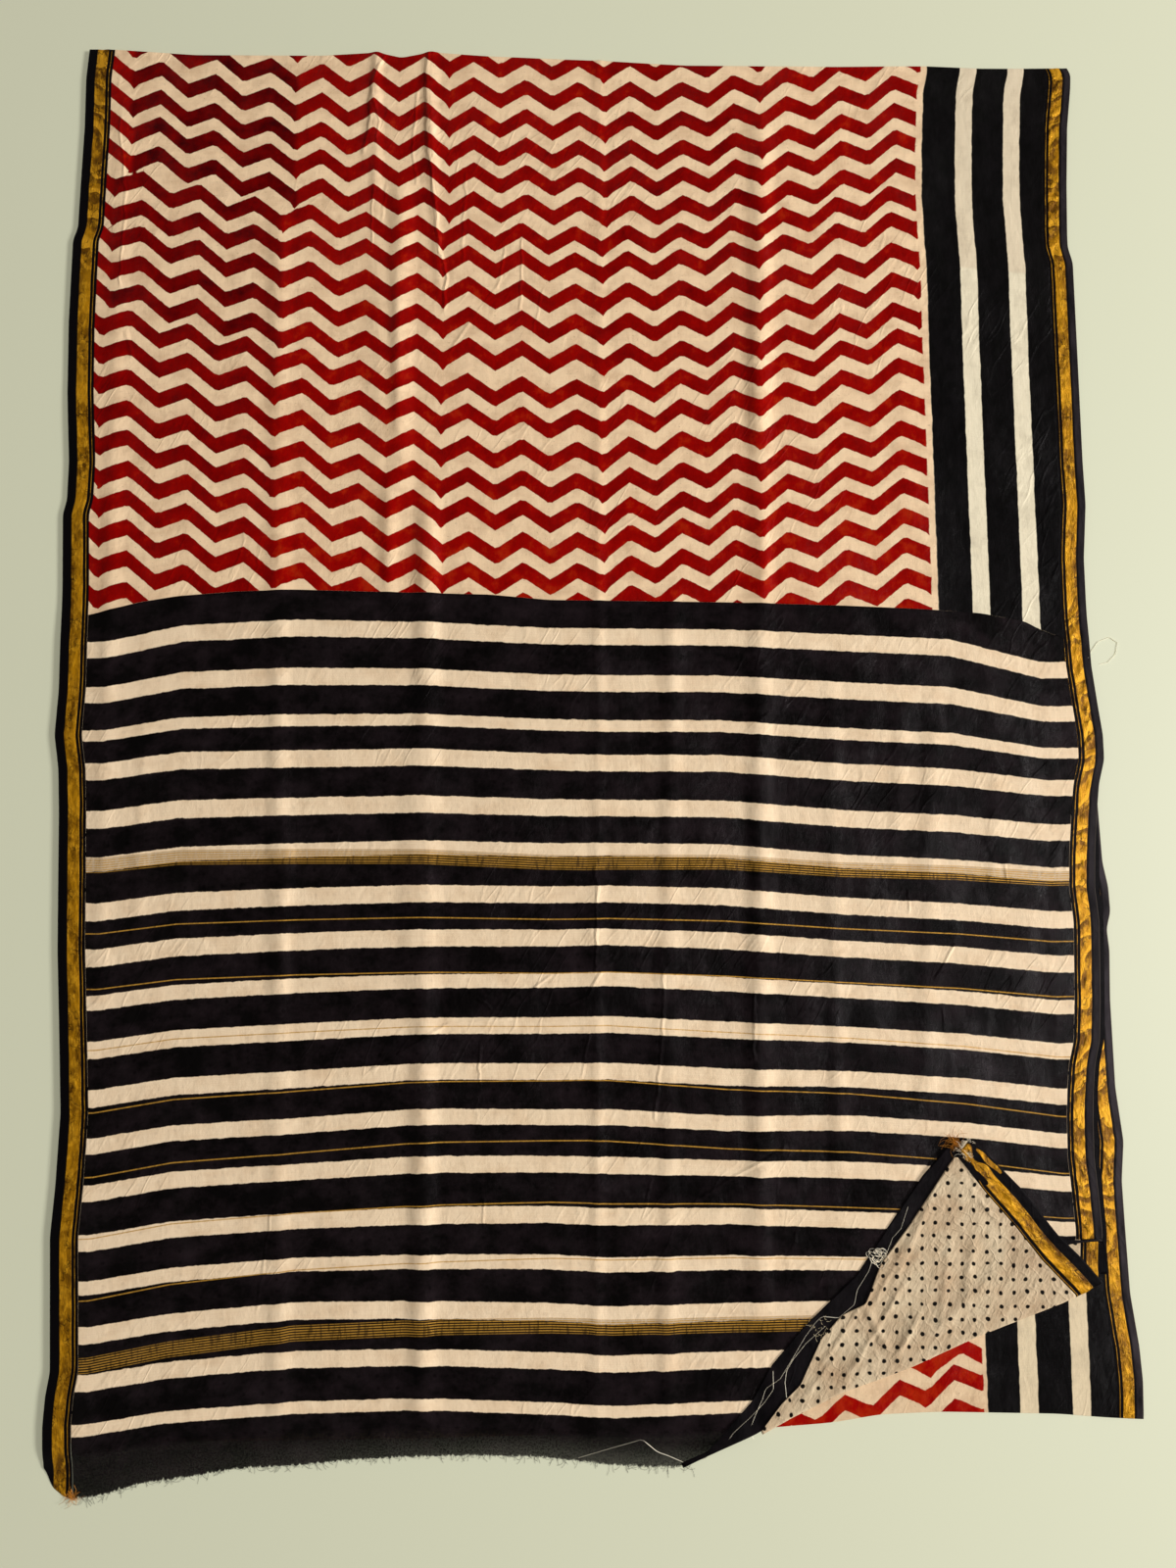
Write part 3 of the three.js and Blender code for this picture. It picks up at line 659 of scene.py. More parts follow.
def border_material(name, grey=0.0):
    """Black selvedge, gold band and hair line by the distance from the woven edge. grey is how much of
    the selvedge is thin enough to look grey, and how strong the painted highlight along its edge is."""
    material, tree, shader = new_material(name)
    u, v = cloth_place(tree)
    inward = fact(tree, "inward_mm")
    wander = (mottle(tree, u, v, 40, 25, 2.0, 2.0) - 0.5) * 1.6
    place = inward + wander
    gold_band = place.over(ZARI[0], 0.25).both(place.under(ZARI[1], 0.25))
    hair = place.over(INNER_HAIR[0], 0.2).both(place.under(INNER_HAIR[1], 0.2)) * 0.7
    gold_mask = gold_band.either(hair)
    height, slub = weave(tree, u, v)
    crinkle = mottle(tree, u, v, 170, 80, 4.0, 4.0, 0.65)
    patches = mottle(tree, u, v, 70, 22, 12.0, 3.0, 0.6)
    rough = fact(tree, "rough")
    # Stripes of facets on the crumpled zari, for painted shade and highlight
    facet_shade_and_highlight = (u * 28 + v * 38 + mottle(tree, u, v, 20, 14, 27.0, 2.0) * 5).math("FRACT")
    crease_relief_and_shade = mottle(tree, u + v * 0.8, v - u * 0.8, 60, 45, 18.0, 2.0) - 0.5
    crease_relief_and_shade = crease_relief_and_shade.size().under(0.012, 0.012)
    # Painted reflection: the metal thread darker and brighter in patches, as crumpled zari catches the
    # light
    gold = tint(tree, patches.over(0.5, 0.12), "5a3703", "bd840e")
    gold = tint(tree, rough * 0.6, gold, "b0790f")
    # Painted facet light: darker gold on facets turned from the light, brighter gold on facets turned
    # to it
    gold = tint(tree, facet_shade_and_highlight.over(0.62, 0.06).both(rough) * 0.85, gold, "5e3a06")
    gold = tint(tree, facet_shade_and_highlight.under(0.26, 0.05).both(rough) * 0.75, gold, "dda026")
    # Painted highlight: brighter gold on the tops of the crinkles
    gold = tint(tree, crinkle.over(0.57, 0.08) * 0.65, gold, "e2a524")
    # Painted shade: dark lines in the zari's creases
    gold = tint(tree, crease_relief_and_shade.both(patches.under(0.52, 0.06)) * 0.85, gold, "2a1502")
    thin = inward.over(1.2, 0.4).both(inward.under(7.0, 1.0)).both(patches.over(0.4, 0.2)) * grey
    # Painted highlight along the woven edge, together with the thin edge letting the pale floor show
    # through
    rim = inward.under(0.7, 0.3) * grey
    selvedge = tint(tree, thin, "0b090b", "4e464b")
    selvedge = tint(tree, rim, selvedge, "7d7069")
    satin(tree, shader, tint(tree, gold_mask, selvedge, gold), 0.34, gold_mask * 0.26 + 0.04)
    tree.links.new((gold_mask * 0.3).socket, shader.inputs["Metallic"])
    raise_up(tree, shader, height * 0.15 + crinkle * gold_mask * 1.5, 0.0012)
    return material


def crinkles(along, inward, strength):
    """Relief of the zari band, strongest in its middle: three slanting ripples of unequal length, and
    a slanting zigzag where it is crumpled."""
    band = np.exp(-(((inward - sum(ZARI) / 2) / ZARI_SPREAD) ** 2))
    ripple = np.sin(along / 5.3 + inward / 3.1 + 2.9 * np.sin(along / 37))
    ripple += 0.8 * np.sin(along / 9.7 - inward / 4.2 + 3.3 * np.sin(along / 53))
    ripple += 0.9 * np.sin(inward / 1.9 + 2.5 * np.sin(along / 29))
    facet = np.arcsin(np.sin(along / 3.1 + inward / 2.3 + 2 * np.sin(along / 23)))
    return strength * band * (0.15 * ripple + 0.35 * strength ** 2 * facet)


def rough_zari(y, smooth_parts):
    """1 where the zari is crumpled, and less on the stretches where it lies smooth."""
    strength = np.ones_like(y)
    for low, high in smooth_parts:
        lies_smooth = ease(y, low - 15, low + 15) * (1 - ease(y, high - 15, high + 15))
        strength -= (1 - SMOOTH_SHARE) * lies_smooth
    return strength


border_x, border_y, border_z = under_cloth(under_inner_edge, under_right_edge, 420, BORDER_COLUMNS)
border_in = under_right_edge(border_y) - border_x
border_rough = rough_zari(border_y, [(-720, -560)])
border_z = border_z + crinkles(border_y, border_in, border_rough)
under_border = cloth_mesh("under_border_cloth", border_x, border_y, border_z,
                          border_in * MM, border_y * MM, inward_mm=border_in, rough=border_rough)
grey_selvedge = border_material("woven_border_grey", 0.55)
finish_cloth(under_border, grey_selvedge, ["under_border_right"])


# Blouse piece: a shorter stretch of cream cloth with small black dots, laid between the under stretch
# and the pallu. Its selvedge shows a little outside the pallu's, and one corner of it is turned up.
DOT_PITCH = 0.0193
DOT_SIZE = 0.0021
BLOUSE_INSET = 9  # at the left it stays inside the top sheet
BLOUSE_REACH, BLOUSE_HELD_IN = 5.5, 3  # at the right: past the top sheet, inside the under stretch
BLOUSE_BORDER_FROM = -592  # its border's lower end, past the fold of the corner
CORNER_INWARD = np.array([-0.42, 0.907])  # from the turned corner's fold lines to its tip
CORNER_ALONG = np.array([0.907, 0.42])
BLOUSE_FOLD = [
    (159, -724), (198, -704), (252, -680), (293, -667), (323, -657), (391, -629), (434, -614),
    (483, -597), (499, -590), (526, -577),
]
STEP_LOW, STEP_HIGH = 100, 140  # the top sheet steps down past the blouse piece's upper end


def corner_frame(x, y):
    """Place along the corner's fold lines, and inward from them."""
    return x * CORNER_ALONG[0] + y * CORNER_ALONG[1], x * CORNER_INWARD[0] + y * CORNER_INWARD[1]


def corner_line(points, soft=6):
    """A measured line in the corner's frame: how far inward it is at each place along the fold."""
    along, inward = corner_frame(*np.array(points, float).T)
    return measured_line(list(zip(along, inward)), soft)


blouse_fold = corner_line(BLOUSE_FOLD)


def beyond_fold(x, y, fold):
    """Cells of the grid that reach past a fold line."""
    along, inward = corner_frame(x, y)
    past = inward < fold(along)
    return past[:-1, :-1] | past[1:, :-1] | past[:-1, 1:] | past[1:, 1:]


def from_corner_frame(along, inward):
    return (along * CORNER_ALONG[0] + inward * CORNER_INWARD[0],
            along * CORNER_ALONG[1] + inward * CORNER_INWARD[1])


def end_at_fold(x, y, fold):
    """Moves the grid's points past a fold line onto it, and says which cells are left."""
    along, inward = corner_frame(x, y)
    gone = inward < fold(along)
    x, y = from_corner_frame(along, np.maximum(inward, fold(along)))
    return x, y, ~(gone[:-1, :-1] & gone[1:, :-1] & gone[:-1, 1:] & gone[1:, 1:])


def dotted_material():
    """Cream cloth, matt and crinkled, with a brick pattern of small black dots."""
    material, tree, shader = new_material("dotted_cloth")
    u, v = cloth_place(tree)
    height, slub = weave(tree, u, v, 1300.0)
    sway_u = u + (mottle(tree, u, v, 30, 30, 3.0, 1.0) - 0.5) * 0.009
    sway_v = v + (mottle(tree, u, v, 30, 30, 8.0, 1.0) - 0.5) * 0.009
    dots = None
    for start, seed in ((0.0, 5.0), (0.5, 9.0)):
        off_u = ((sway_u / DOT_PITCH + start).math("FRACT") - 0.5) * DOT_PITCH
        off_v = ((sway_v / DOT_PITCH + start).math("FRACT") - 0.5) * DOT_PITCH
        away = (off_u * off_u + off_v * off_v).math("SQRT")
        rim = (mottle(tree, u, v, 160, 160, seed, 1.0) - 0.5) * 0.0020
        here = (away + rim).under(DOT_SIZE, 0.0003)
        dots = here if dots is None else dots.either(here)
    smudge = mottle(tree, u, v, 26, 30, 1.0, 5.0, 0.6)
    cream = tint(tree, slub, "bfa888", "dfcbad")
    cream = tint(tree, smudge.over(0.54, 0.16) * 0.6, cream, "a4805f")
    satin(tree, shader, tint(tree, dots, cream, "120f0c"), 0.7)
    crinkle = mottle(tree, u * 0.28 + v * 0.96, u * 0.96 - v * 0.28, 80, 28, 2.0, 5.0, 0.66)
    broken = (mottle(tree, u, v, 45, 30, 12.0, 2.0) - 0.5).size().under(0.02, 0.02)
    raise_up(tree, shader, height * 0.05 + crinkle * 1.4 + broken * 0.15, 0.002)
    return material


def blouse_right_edge(y):
    return np.minimum(right_edge(y) + BLOUSE_REACH, under_right_edge(y) - BLOUSE_HELD_IN)


def blouse_inner_edge(y):
    return blouse_right_edge(y) - BORDER_WIDTH


def blouse_end(x):
    return STEP_LOW + 0 * x


def blouse_middle(x, y):
    return under_middle(x, y) + LAYER


dotted = dotted_material()
blouse_x, blouse_y = sheet_grid(lambda y: left_edge(y) + BLOUSE_INSET, blouse_inner_edge,
                                lambda x: bottom_fold(x) + FOLD_OUT + 0.6, blouse_end, 150, 150)
blouse_kept = ~beyond_fold(blouse_x, blouse_y, blouse_fold)
blouse = cloth_mesh("blouse_piece_cloth", blouse_x, blouse_y, blouse_middle(blouse_x, blouse_y),
                    blouse_x * MM, blouse_y * MM, keep=blouse_kept)
finish_cloth(blouse, dotted, ["blouse_piece"])

black_selvedge = border_material("woven_border_black")
edge_x, edge_y = sheet_grid(blouse_inner_edge, blouse_right_edge,
                            lambda x: BLOUSE_BORDER_FROM + 0 * x, blouse_end,
                            230, BORDER_COLUMNS, 520.0)
edge_in = blouse_right_edge(edge_y) - edge_x
edge_kept = ~beyond_fold(edge_x, edge_y, blouse_fold)
blouse_border = cloth_mesh("blouse_border_cloth", edge_x, edge_y, blouse_middle(edge_x, edge_y),
                           edge_in * MM, edge_y * MM, keep=edge_kept, inward_mm=edge_in)
finish_cloth(blouse_border, black_selvedge, [])


# Body: the top sheet's upper part, silk-cotton with the zigzag block print. It comes over the top fold
# and lies in long soft creases from when it was folded smaller. The weft bows, so the print does too.
PALLU_TOP = [
    (-600, 112), (-539, 128), (-525, 131), (-484, 142), (-442, 149), (-380, 154), (-317, 156),
    (-181, 152), (-107, 150), (-44, 144), (20, 143), (148, 141), (277, 137), (363, 133), (428, 128),
    (476, 119), (492, 110), (530, 96), (600, 80),
]
COME_DOWN = [(-762, 0.0), (-746, 0.15), (-735, 0.5), (-726, 0.86), (-718, 1.0)]
FLOOR_MIDDLE = 0.35  # middle of the pallu's end, which lies on the floor
BOW_X = (-514, -434, -312, -180, -47, 15, 140, 265, 391, 491)
WEFT_BOW = (  # how far the weft that is at this Y in the middle lies above it at each X
    (760, (4, 2, 2, 4, 1, 0, -3, -3, -2, -2)),
    (103, (-13, 5, 11, 8, 1, 0, -1, -7, -13, -39)),
    (-34, (-5, 6, 7, 8, 2, 0, -1, -11, -18, -30)),
    (-126, (-11, -1, 2, 4, 0, 0, -3, -15, -22, -31)),
    (-262, (-18, -8, -3, 0, -1, 0, -7, -16, -25, -36)),
    (-404, (-21, -9, -4, 4, 1, 0, -9, -10, -20, -33)),
    (-505, (-16, -4, 2, 5, 4, 0, -1, -8, -14, -22)),
    (-603, (-8, 3, 12, 10, 5, 0, 1, 1, 0, 0)),
    (-698, (-5, 6, 12, 13, 5, 0, 2, 2, 2, 2)),
)
STRIPES_END = 0.129  # where the first side stripe ends in the pallu's black
PRINT_LEAN = [(100, -1), (156, 0), (435, 0), (520, 1), (600, -2), (660, 0), (730, 4), (757, 10)]
# Short soft ridges of the top sheet: from, to, half width, height
TUCKS = [
    (-228, 790, -245, 630, 5, 1.4), (-177, 790, -160, 450, 5, 1.5), (-228, 600, -224, 200, 13, 1.6),
    (-209, 540, -206, 300, 6, 1.2), (-217, 300, -216, 120, 9, 2.6), (-560, 400, -540, 180, 8, 1.4),
    (186, 470, 188, 300, 9, 1.8), (191, 250, 190, 130, 5, 1.6), (-315, -60, -330, -330, 7, 1.2),
    (-190, 60, -194, -330, 9, 1.6), (-470, 60, -476, -240, 6, 1.0), (340, 60, 320, -200, 7, 1.3),
    (440, -20, 425, -210, 6, 1.2), (222, -432, 100, -520, 7, 1.2), (-130, -290, -240, -360, 6, 0.9),
    (4, -120, -10, -370, 6, 0.9), (76, -180, 60, -420, 5, 0.8), (385, -220, 360, -280, 5, 0.7),
]
CREASED_SHARE = (0.26, 0.4)  # part of the width where the sharpest folds are
# Sharp folds, too fine for the mesh: height, half width, and the points of their line
BODY_FOLDS = (
    (0.9, 3.0, (-224, 768), (-238, 731), (-241, 675), (-247, 651)),
    (0.6, 2.5, (-238, 725), (-229, 688), (-233, 662)),
    (1.0, 3.0, (-176, 773), (-177, 726), (-176, 663), (-166, 584), (-163, 542), (-154, 511),
     (-157, 469)),
    (0.6, 2.5, (-186, 726), (-192, 663), (-186, 615)), (0.6, 2.5, (-235, 614), (-237, 541)),
    (0.4, 2.5, (-221, 613), (-225, 573)), (0.5, 2.5, (-133, 627), (-137, 524)),
    (0.5, 2.5, (-90, 542), (-99, 493)), (0.6, 2.5, (-70, 554), (-73, 470)),
    (0.4, 2.5, (-47, 494), (-59, 445)), (0.6, 3.0, (-128, 457), (-151, 421)),
    (0.6, 2.5, (-515, 690), (-507, 591), (-508, 552), (-510, 494)),
    (0.6, 3.0, (-503, 445), (-495, 414)),
)

pallu_top = measured_line(PALLU_TOP, 10)
come_down = measured_line(COME_DOWN, 5)
print_lean = measured_line(PRINT_LEAN)


def tucks(x, y, table):
    """Sum of soft ridges on short straight lines: a bell across each, eased to nothing at its ends."""
    total = np.zeros_like(x)
    for x0, y0, x1, y1, half, height in table:
        length = np.hypot(x1 - x0, y1 - y0)
        t = ((x - x0) * (x1 - x0) + (y - y0) * (y1 - y0)) / length ** 2
        away = ((x - x0) * (y1 - y0) - (y - y0) * (x1 - x0)) / length
        total += height * np.exp(-((away / half) ** 2)) * ease(t, 0, 0.3) * (1 - ease(t, 0.7, 1))
    return total


def drape(x, y):
    """Slow unevenness of a cloth laid down by hand: the sum of a few long waves, never below 0."""
    waves = np.sin(x / 31 + 1.3 * np.sin(y / 160)) * np.sin(y / 240 + x / 400)
    waves += 0.7 * np.sin(x / 17 + 2 * np.sin(y / 210) + 1) * np.sin(y / 130 + 2)
    waves += 0.6 * np.sin(y / 37 + x / 90) * np.sin(x / 120 + 0.5)
    return 0.14 * (waves + 2.3)


def top_middle(x, y):
    """Middle of the top sheet: on the blouse piece below its upper end, and down to the floor past
    the bottom fold."""
    fold = bottom_fold(x) + FOLD_OUT
    on_blouse = 1 - np.clip((y - STEP_LOW) / (STEP_HIGH - STEP_LOW), 0, 1)
    held = np.maximum(y, fold)
    height = stack_top(x, held) + GAP + LAYER * (1 + on_blouse) + WALL / 2
    height = height + (tucks(x, y, TUCKS) + drape(x, y)) * come_down(y)
    return FLOOR_MIDDLE + (height - FLOOR_MIDDLE) * come_down(y)


def weft_bow(x, at):
    """Rise of the weft at X over its Y in the middle, between the rows of the measured table."""
    total = np.interp(x, BOW_X, WEFT_BOW[0][1])
    for (upper, _), (lower, row) in zip(WEFT_BOW, WEFT_BOW[1:]):
        share = np.clip((upper - at) / (upper - lower), 0, 1)
        total = total * (1 - share) + np.interp(x, BOW_X, row) * share
    return total


def woven_place(x, y):
    """Place in the woven cloth, in millimetres, with the bow of the weft taken out."""
    along = y
    for _ in range(3):
        along = y - weft_bow(x, along)
    return x - print_lean(y), along


def left_inner(y):
    return left_edge(y) + BORDER_WIDTH


def right_inner(y):
    return right_edge(y) - BORDER_WIDTH


def fold_line(x):
    return top_fold(x) - FOLD_OUT


def over_fold(x, y, z):
    """Adds the half turn at the top fold, down to the under stretch."""
    return join((x, y, z), roll_rows(x[-1], y[-1], z[-1], LAYER, 1))


body_x, body_y = sheet_grid(left_inner, right_inner, pallu_top, fold_line, 155, 275,
                            dense=CREASED_SHARE)
body_x, body_y, body_z = over_fold(body_x, body_y, top_middle(body_x, body_y))
body_u, body_v = woven_place(body_x, body_y)
body_band, body_bright = zigzag_distance(body_x, body_y, PRINT_BLOCKS, 2)
body = cloth_mesh("body_cloth", body_x, body_y, body_z, body_u * MM, body_v * MM,
                  band_mm=body_band, bright=body_bright)
body_print = print_material("body_print", stripes_end=STRIPES_END, fold_lines=BODY_FOLDS)
finish_cloth(body, body_print, ["body"])


# Pallu: the end piece, black with eighteen cream stripes left by the hand block, thin gold weft lines
# and two bands of them. The last stretch is sheer, so the floor shows through, and its end is frayed.
PALLU_END = [
    (-570, -728), (-555, -740), (-548, -759), (-537, -768), (-527, -772), (-500, -770), (-462, -759),
    (-423, -755), (-365, -747), (-306, -745), (-248, -741), (-179, -739), (-109, -740), (-50, -744),
    (10, -753), (49, -756), (81, -757), (300, -772), (560, -792),
]
PALLU_FOLD = [(60, -767), (81, -757), (159, -722), (300, -645), (492, -540), (512, -538), (540, -537)]
STRIPES = (  # middle of each cream stripe, and its width
    (103, 18.0), (52, 18.0), (6, 12.4), (-34, 17.7), (-82, 17.5), (-126, 14.1), (-173, 17.5),
    (-218, 17.2), (-262, 14.6), (-309, 17.2), (-357, 17.2), (-404, 16.2), (-453, 17.2), (-505, 17.4),
    (-553, 14.9), (-603, 17.9), (-651, 16.7), (-698, 11.9),
)
GOLD_LINES = (  # Y in the middle, and how much further up each is at the left and right edge
    (-199, 5, 4), (-255, 7, 4), (-310, 1, -5), (-366, -5, -12), (-428, -8, -12), (-492, -8, 0),
    (-548, -17, 0),
)
GOLD_BANDS = ((-140, 14, 10), (-615, -18, -3))
SLANT_X = (-525, -5, 505)  # left edge, middle and right edge, for those slants
BAND_HALF, BAND_CLEAR = 7.5, 20
BAND_STEP = 1000  # between the numbers that the two bands' middles have
GOLD_PITCH = 2.5
SHEER_FROM = -0.722
PALLU_FOLDS = (
    (0.9, 3.0, (4, -140), (5, -197), (3, -252)), (0.9, 3.0, (8, -254), (-5, -280)),
    (0.5, 2.5, (-5, -318), (-13, -364)), (0.7, 3.0, (75, -257), (70, -347), (62, -408)),
    (0.7, 3.0, (170, -278), (168, -349)), (0.6, 2.5, (-122, -279), (-107, -293)),
    (0.6, 2.5, (-88, -283), (-73, -269)), (0.8, 2.5, (-64, -272), (-45, -258)),
    (0.7, 2.5, (-26, -289), (-7, -280)), (0.8, 3.0, (-230, -352), (-152, -306), (-88, -302)),
    (0.9, 3.0, (198, -439), (139, -470), (101, -493)), (0.6, 2.5, (-119, -330), (-119, -367)),
    (0.9, 2.5, (385, -230), (364, -265)), (0.6, 2.5, (338, -171), (337, -195)),
    (0.6, 2.5, (441, -147), (445, -162)), (0.6, 2.5, (371, -296), (371, -319)),
    (0.5, 2.5, (-330, -480), (-345, -590)), (0.5, 2.5, (-440, -700), (-520, -740)),
    (0.5, 2.5, (510, -127), (509, -152)), (0.5, 2.5, (58, -468), (53, -491)),
    (0.5, 2.5, (-115, -484), (-115, -511)),
)

pallu_end = measured_line(PALLU_END, 5)
pallu_fold = corner_line(PALLU_FOLD, 4)


def weft_line(x, middle, left, right):
    """Y of a weft line: its middle, the bow, and its own slant towards either edge."""
    slant = np.interp(x, SLANT_X, (left, 0, right))
    return middle + weft_bow(x, np.full_like(x, middle)) + slant


def stripe_distance(along):
    """Distance outside the nearest cream stripe, in millimetres, and below 0 inside it."""
    return np.min([np.abs(along - middle) - wide / 2 for middle, wide in STRIPES], axis=0)


def gold_count(x, y):
    """A value that passes a whole number at each gold line and rises evenly between them."""
    lines = [weft_line(x, *line) for line in GOLD_LINES]
    lines = [lines[0] + 60, *lines, lines[-1] - 60]
    steps = [np.clip((upper - y) / (upper - lower), 0, 1) for upper, lower in zip(lines, lines[1:])]
    return np.sum(steps, axis=0)


def gold_bands(x, y):
    """Millimetres below the first band's middle, and BAND_STEP more than that at the second band."""
    first, second = [weft_line(x, *line) for line in GOLD_BANDS]
    share = (first - BAND_CLEAR - y) / (first - second - 2 * BAND_CLEAR)
    between = BAND_CLEAR + share * (BAND_STEP - 2 * BAND_CLEAR)
    below = BAND_STEP + second - y
    between = np.where(y > second + BAND_CLEAR, between, below)
    return np.where(y > first - BAND_CLEAR, first - y, between)


def pallu_material(name):
    """Black silk-cotton with cream stripes, gold weft and a sheer, ravelled end."""
    material, tree, shader = new_material(name)
    u, v = cloth_place(tree)
    height, slub = weave(tree, u, v)
    ragged = (mottle(tree, u, v, 90, 60, 2.0, 4.0, 0.65) - 0.5) * 3.2
    stripe = (fact(tree, "stripe_mm") + ragged).under(0.0, 0.4)
    smudge = mottle(tree, u, v, 30, 42, 1.0, 5.0, 0.6)
    cream = tint(tree, slub, "eacba6", "fce5c6")
    cream = tint(tree, smudge.over(0.62, 0.16) * 0.4, cream, "c39a6e")
    wear_and_sheen = mottle(tree, u, v, 20, 26, 8.0, 5.0, 0.7)
    # Painted sheen: lighter purple-grey patches on the black where the silk would shine
    ink = tint(tree, wear_and_sheen.over(0.58, 0.16) * 0.6, "0a0808", "2c2226")
    show_u = ((u / DOT_PITCH + v * 3).math("FRACT") - 0.5) * DOT_PITCH
    show_v = ((v / (DOT_PITCH * 0.66)).math("FRACT") - 0.5) * DOT_PITCH * 0.66
    away = (show_u * show_u + show_v * show_v).math("SQRT")
    below = away.under(0.0018, 0.0008).both(v.under(0.1, 0.005)).both(smudge.over(0.45, 0.1))
    cream = tint(tree, below * 0.12, cream, "8f7a66")
    ink = tint(tree, below * 0.5, ink, "030202")
    base = tint(tree, stripe, ink, cream)
    count = fact(tree, "gold_count")
    whole = (count - count.math("ROUND")).size() * 60
    between = count.over(0.5, 0.01).both(count.under(7.5, 0.01))
    glint = mottle(tree, u, v, 220, 20, 3.0, 2.0).over(0.42, 0.15)
    line = whole.under(0.6, 0.25).both(between).both(glint * 0.4 + 0.6)
    band = fact(tree, "band_mm")
    first = band.size().under(BAND_HALF, 0.5)
    second = (band - BAND_STEP).size().under(BAND_HALF, 0.5)
    picks = (band * (np.pi / GOLD_PITCH)).math("SINE").size().under(0.62, 0.12)
    dashes = mottle(tree, u, v, 330, 60, 13.0, 1.0).over(0.4, 0.08)
    gold_weft = first.either(second).both(picks).both(dashes * 0.6 + 0.4).either(line)
    ground = first.either(second) * 0.35
    base = tint(tree, ground, base, "2a1c08")
    base = tint(tree, gold_weft * 0.85, base, "c18f3a")
    sheer = v.under(SHEER_FROM, 0.004)
    mesh_holes = mottle(tree, u, v, 500, 500, 4.0, 1.0).over(0.45, 0.1)
    thinner = fact(tree, "end_mm").under(14, 12).both(u.over(-0.1, 0.3) * 0.3 + 0.08)
    opaque = (sheer * (mesh_holes * 0.13 + thinner + 0.05)) * -1 + 1
    ravelled = mottle(tree, u, v, 420, 14, 6.0, 3.0, 0.7) * 11 - 4
    whole_end = (fact(tree, "end_mm") - ravelled).over(0.0, 0.6)
    tree.links.new(opaque.both(whole_end).socket, shader.inputs["Alpha"])
    tree.links.new((gold_weft * 0.1).socket, shader.inputs["Metallic"])
    satin(tree, shader, base)
    crease_relief_and_shade = folds(tree, fold_group("pallu_folds", PALLU_FOLDS))
    raise_up(tree, shader, height + stripe * 0.4 + crease_relief_and_shade, WEAVE_DEPTH)
    return material


pallu_x, pallu_y = sheet_grid(left_inner, right_inner, pallu_end, pallu_top, 185, 226)
pallu_x, pallu_y, pallu_kept = end_at_fold(pallu_x, pallu_y, pallu_fold)
pallu_u, pallu_v = woven_place(pallu_x, pallu_y)
pallu = cloth_mesh(
    "pallu_cloth", pallu_x, pallu_y, top_middle(pallu_x, pallu_y), pallu_u * MM, pallu_v * MM,
    keep=pallu_kept, stripe_mm=stripe_distance(pallu_v),
    gold_count=gold_count(pallu_x, pallu_y), band_mm=gold_bands(pallu_x, pallu_y),
    end_mm=pallu_y - pallu_end(pallu_x),
)


def strands(name, points, radius, material):
    """Fine threads, one for each row of points in millimetres: a ring of three corners round each
    point, joined along the thread."""
    along = np.gradient(points, axis=1)
    along /= np.linalg.norm(along, axis=-1, keepdims=True)
    side = np.cross(along, (0, 0, 1))
    side /= np.linalg.norm(side, axis=-1, keepdims=True) + 1e-9
    up = np.cross(side, along)
    angle = np.radians((90, 210, 330))[:, None]
    ring = np.cos(angle) * side[:, :, None] + np.sin(angle) * up[:, :, None]
    ring = points[:, :, None] + radius * ring
    count, length = points.shape[:2]
    index = np.arange(count * length * 3).reshape(count, length, 3)
    turned = np.roll(index, -1, axis=2)
    quads = np.stack([index[:, :-1], turned[:, :-1], turned[:, 1:], index[:, 1:]], axis=-1)
    mesh = bpy.data.meshes.new(name)
    mesh.from_pydata((ring.reshape(-1, 3) * MM).tolist(), [], quads.reshape(-1, 4).tolist())
    mesh.materials.append(material)
    piece = bpy.data.objects.new(name, mesh)
    scene.collection.objects.link(piece)
    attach(piece, "root")
    return piece


def thread_material(name, code, shine=0.2):
    """One plain colour, with a soft shine."""
    material, tree, shader = new_material(name)
    shader.inputs["Base Color"].default_value = colour(code)
    shader.inputs["Roughness"].default_value = 0.5
    shader.inputs["Specular IOR Level"].default_value = shine
    return material


def hairs(root, heading, spread, shortest, longest, rng, floor_z=0.5):
    """Short curling hairs: root is a point each, heading the direction in degrees that they fan
    around."""
    count = len(root)
    angle = np.radians(heading + spread * rng.normal(size=count))
    curl = rng.normal(scale=0.9, size=count)
    length = shortest + (longest - shortest) * rng.random(count) ** 2
    t = np.linspace(0, 1, 5)[None, :]
    turn = angle[:, None] + curl[:, None] * t
    x = root[:, :1] + length[:, None] * t * np.cos(turn)
    y = root[:, 1:2] + length[:, None] * t * np.sin(turn)
    z = floor_z + (root[:, 2:] - floor_z) * (1 - t) + 0 * x
    return np.stack([x, y, z], axis=-1)


FRAY_COUNT = 700
fray_rng = np.random.default_rng(4)
fray_x = fray_rng.uniform(-520, 96, FRAY_COUNT)
fray_y = pallu_end(fray_x) + fray_rng.uniform(1, 6, FRAY_COUNT)
fray_root = np.stack([fray_x, fray_y, 0 * fray_x + 0.9], axis=-1)
pallu_fringe = strands("pallu_fringe", hairs(fray_root, -90, 34, 2, 11, fray_rng), 0.13,
                       thread_material("dark_thread", "1a1516", 0.05))
finish_cloth(pallu, pallu_material("striped_cloth"), ["pallu"])


# The top sheet's own woven borders, from the top fold down. The left one runs to the sheet's corner on
# the floor, and the right one stops where the corner is turned up.
LEFT_SMOOTH, RIGHT_SMOOTH = [(-800, 520)], [(140, 530)]  # where their zari lies smooth
CORNER_Y = -537  # lower end of the right one


def from_left(x, y):
    return x - left_edge(y)


def from_right(x, y):
    return right_edge(y) - x


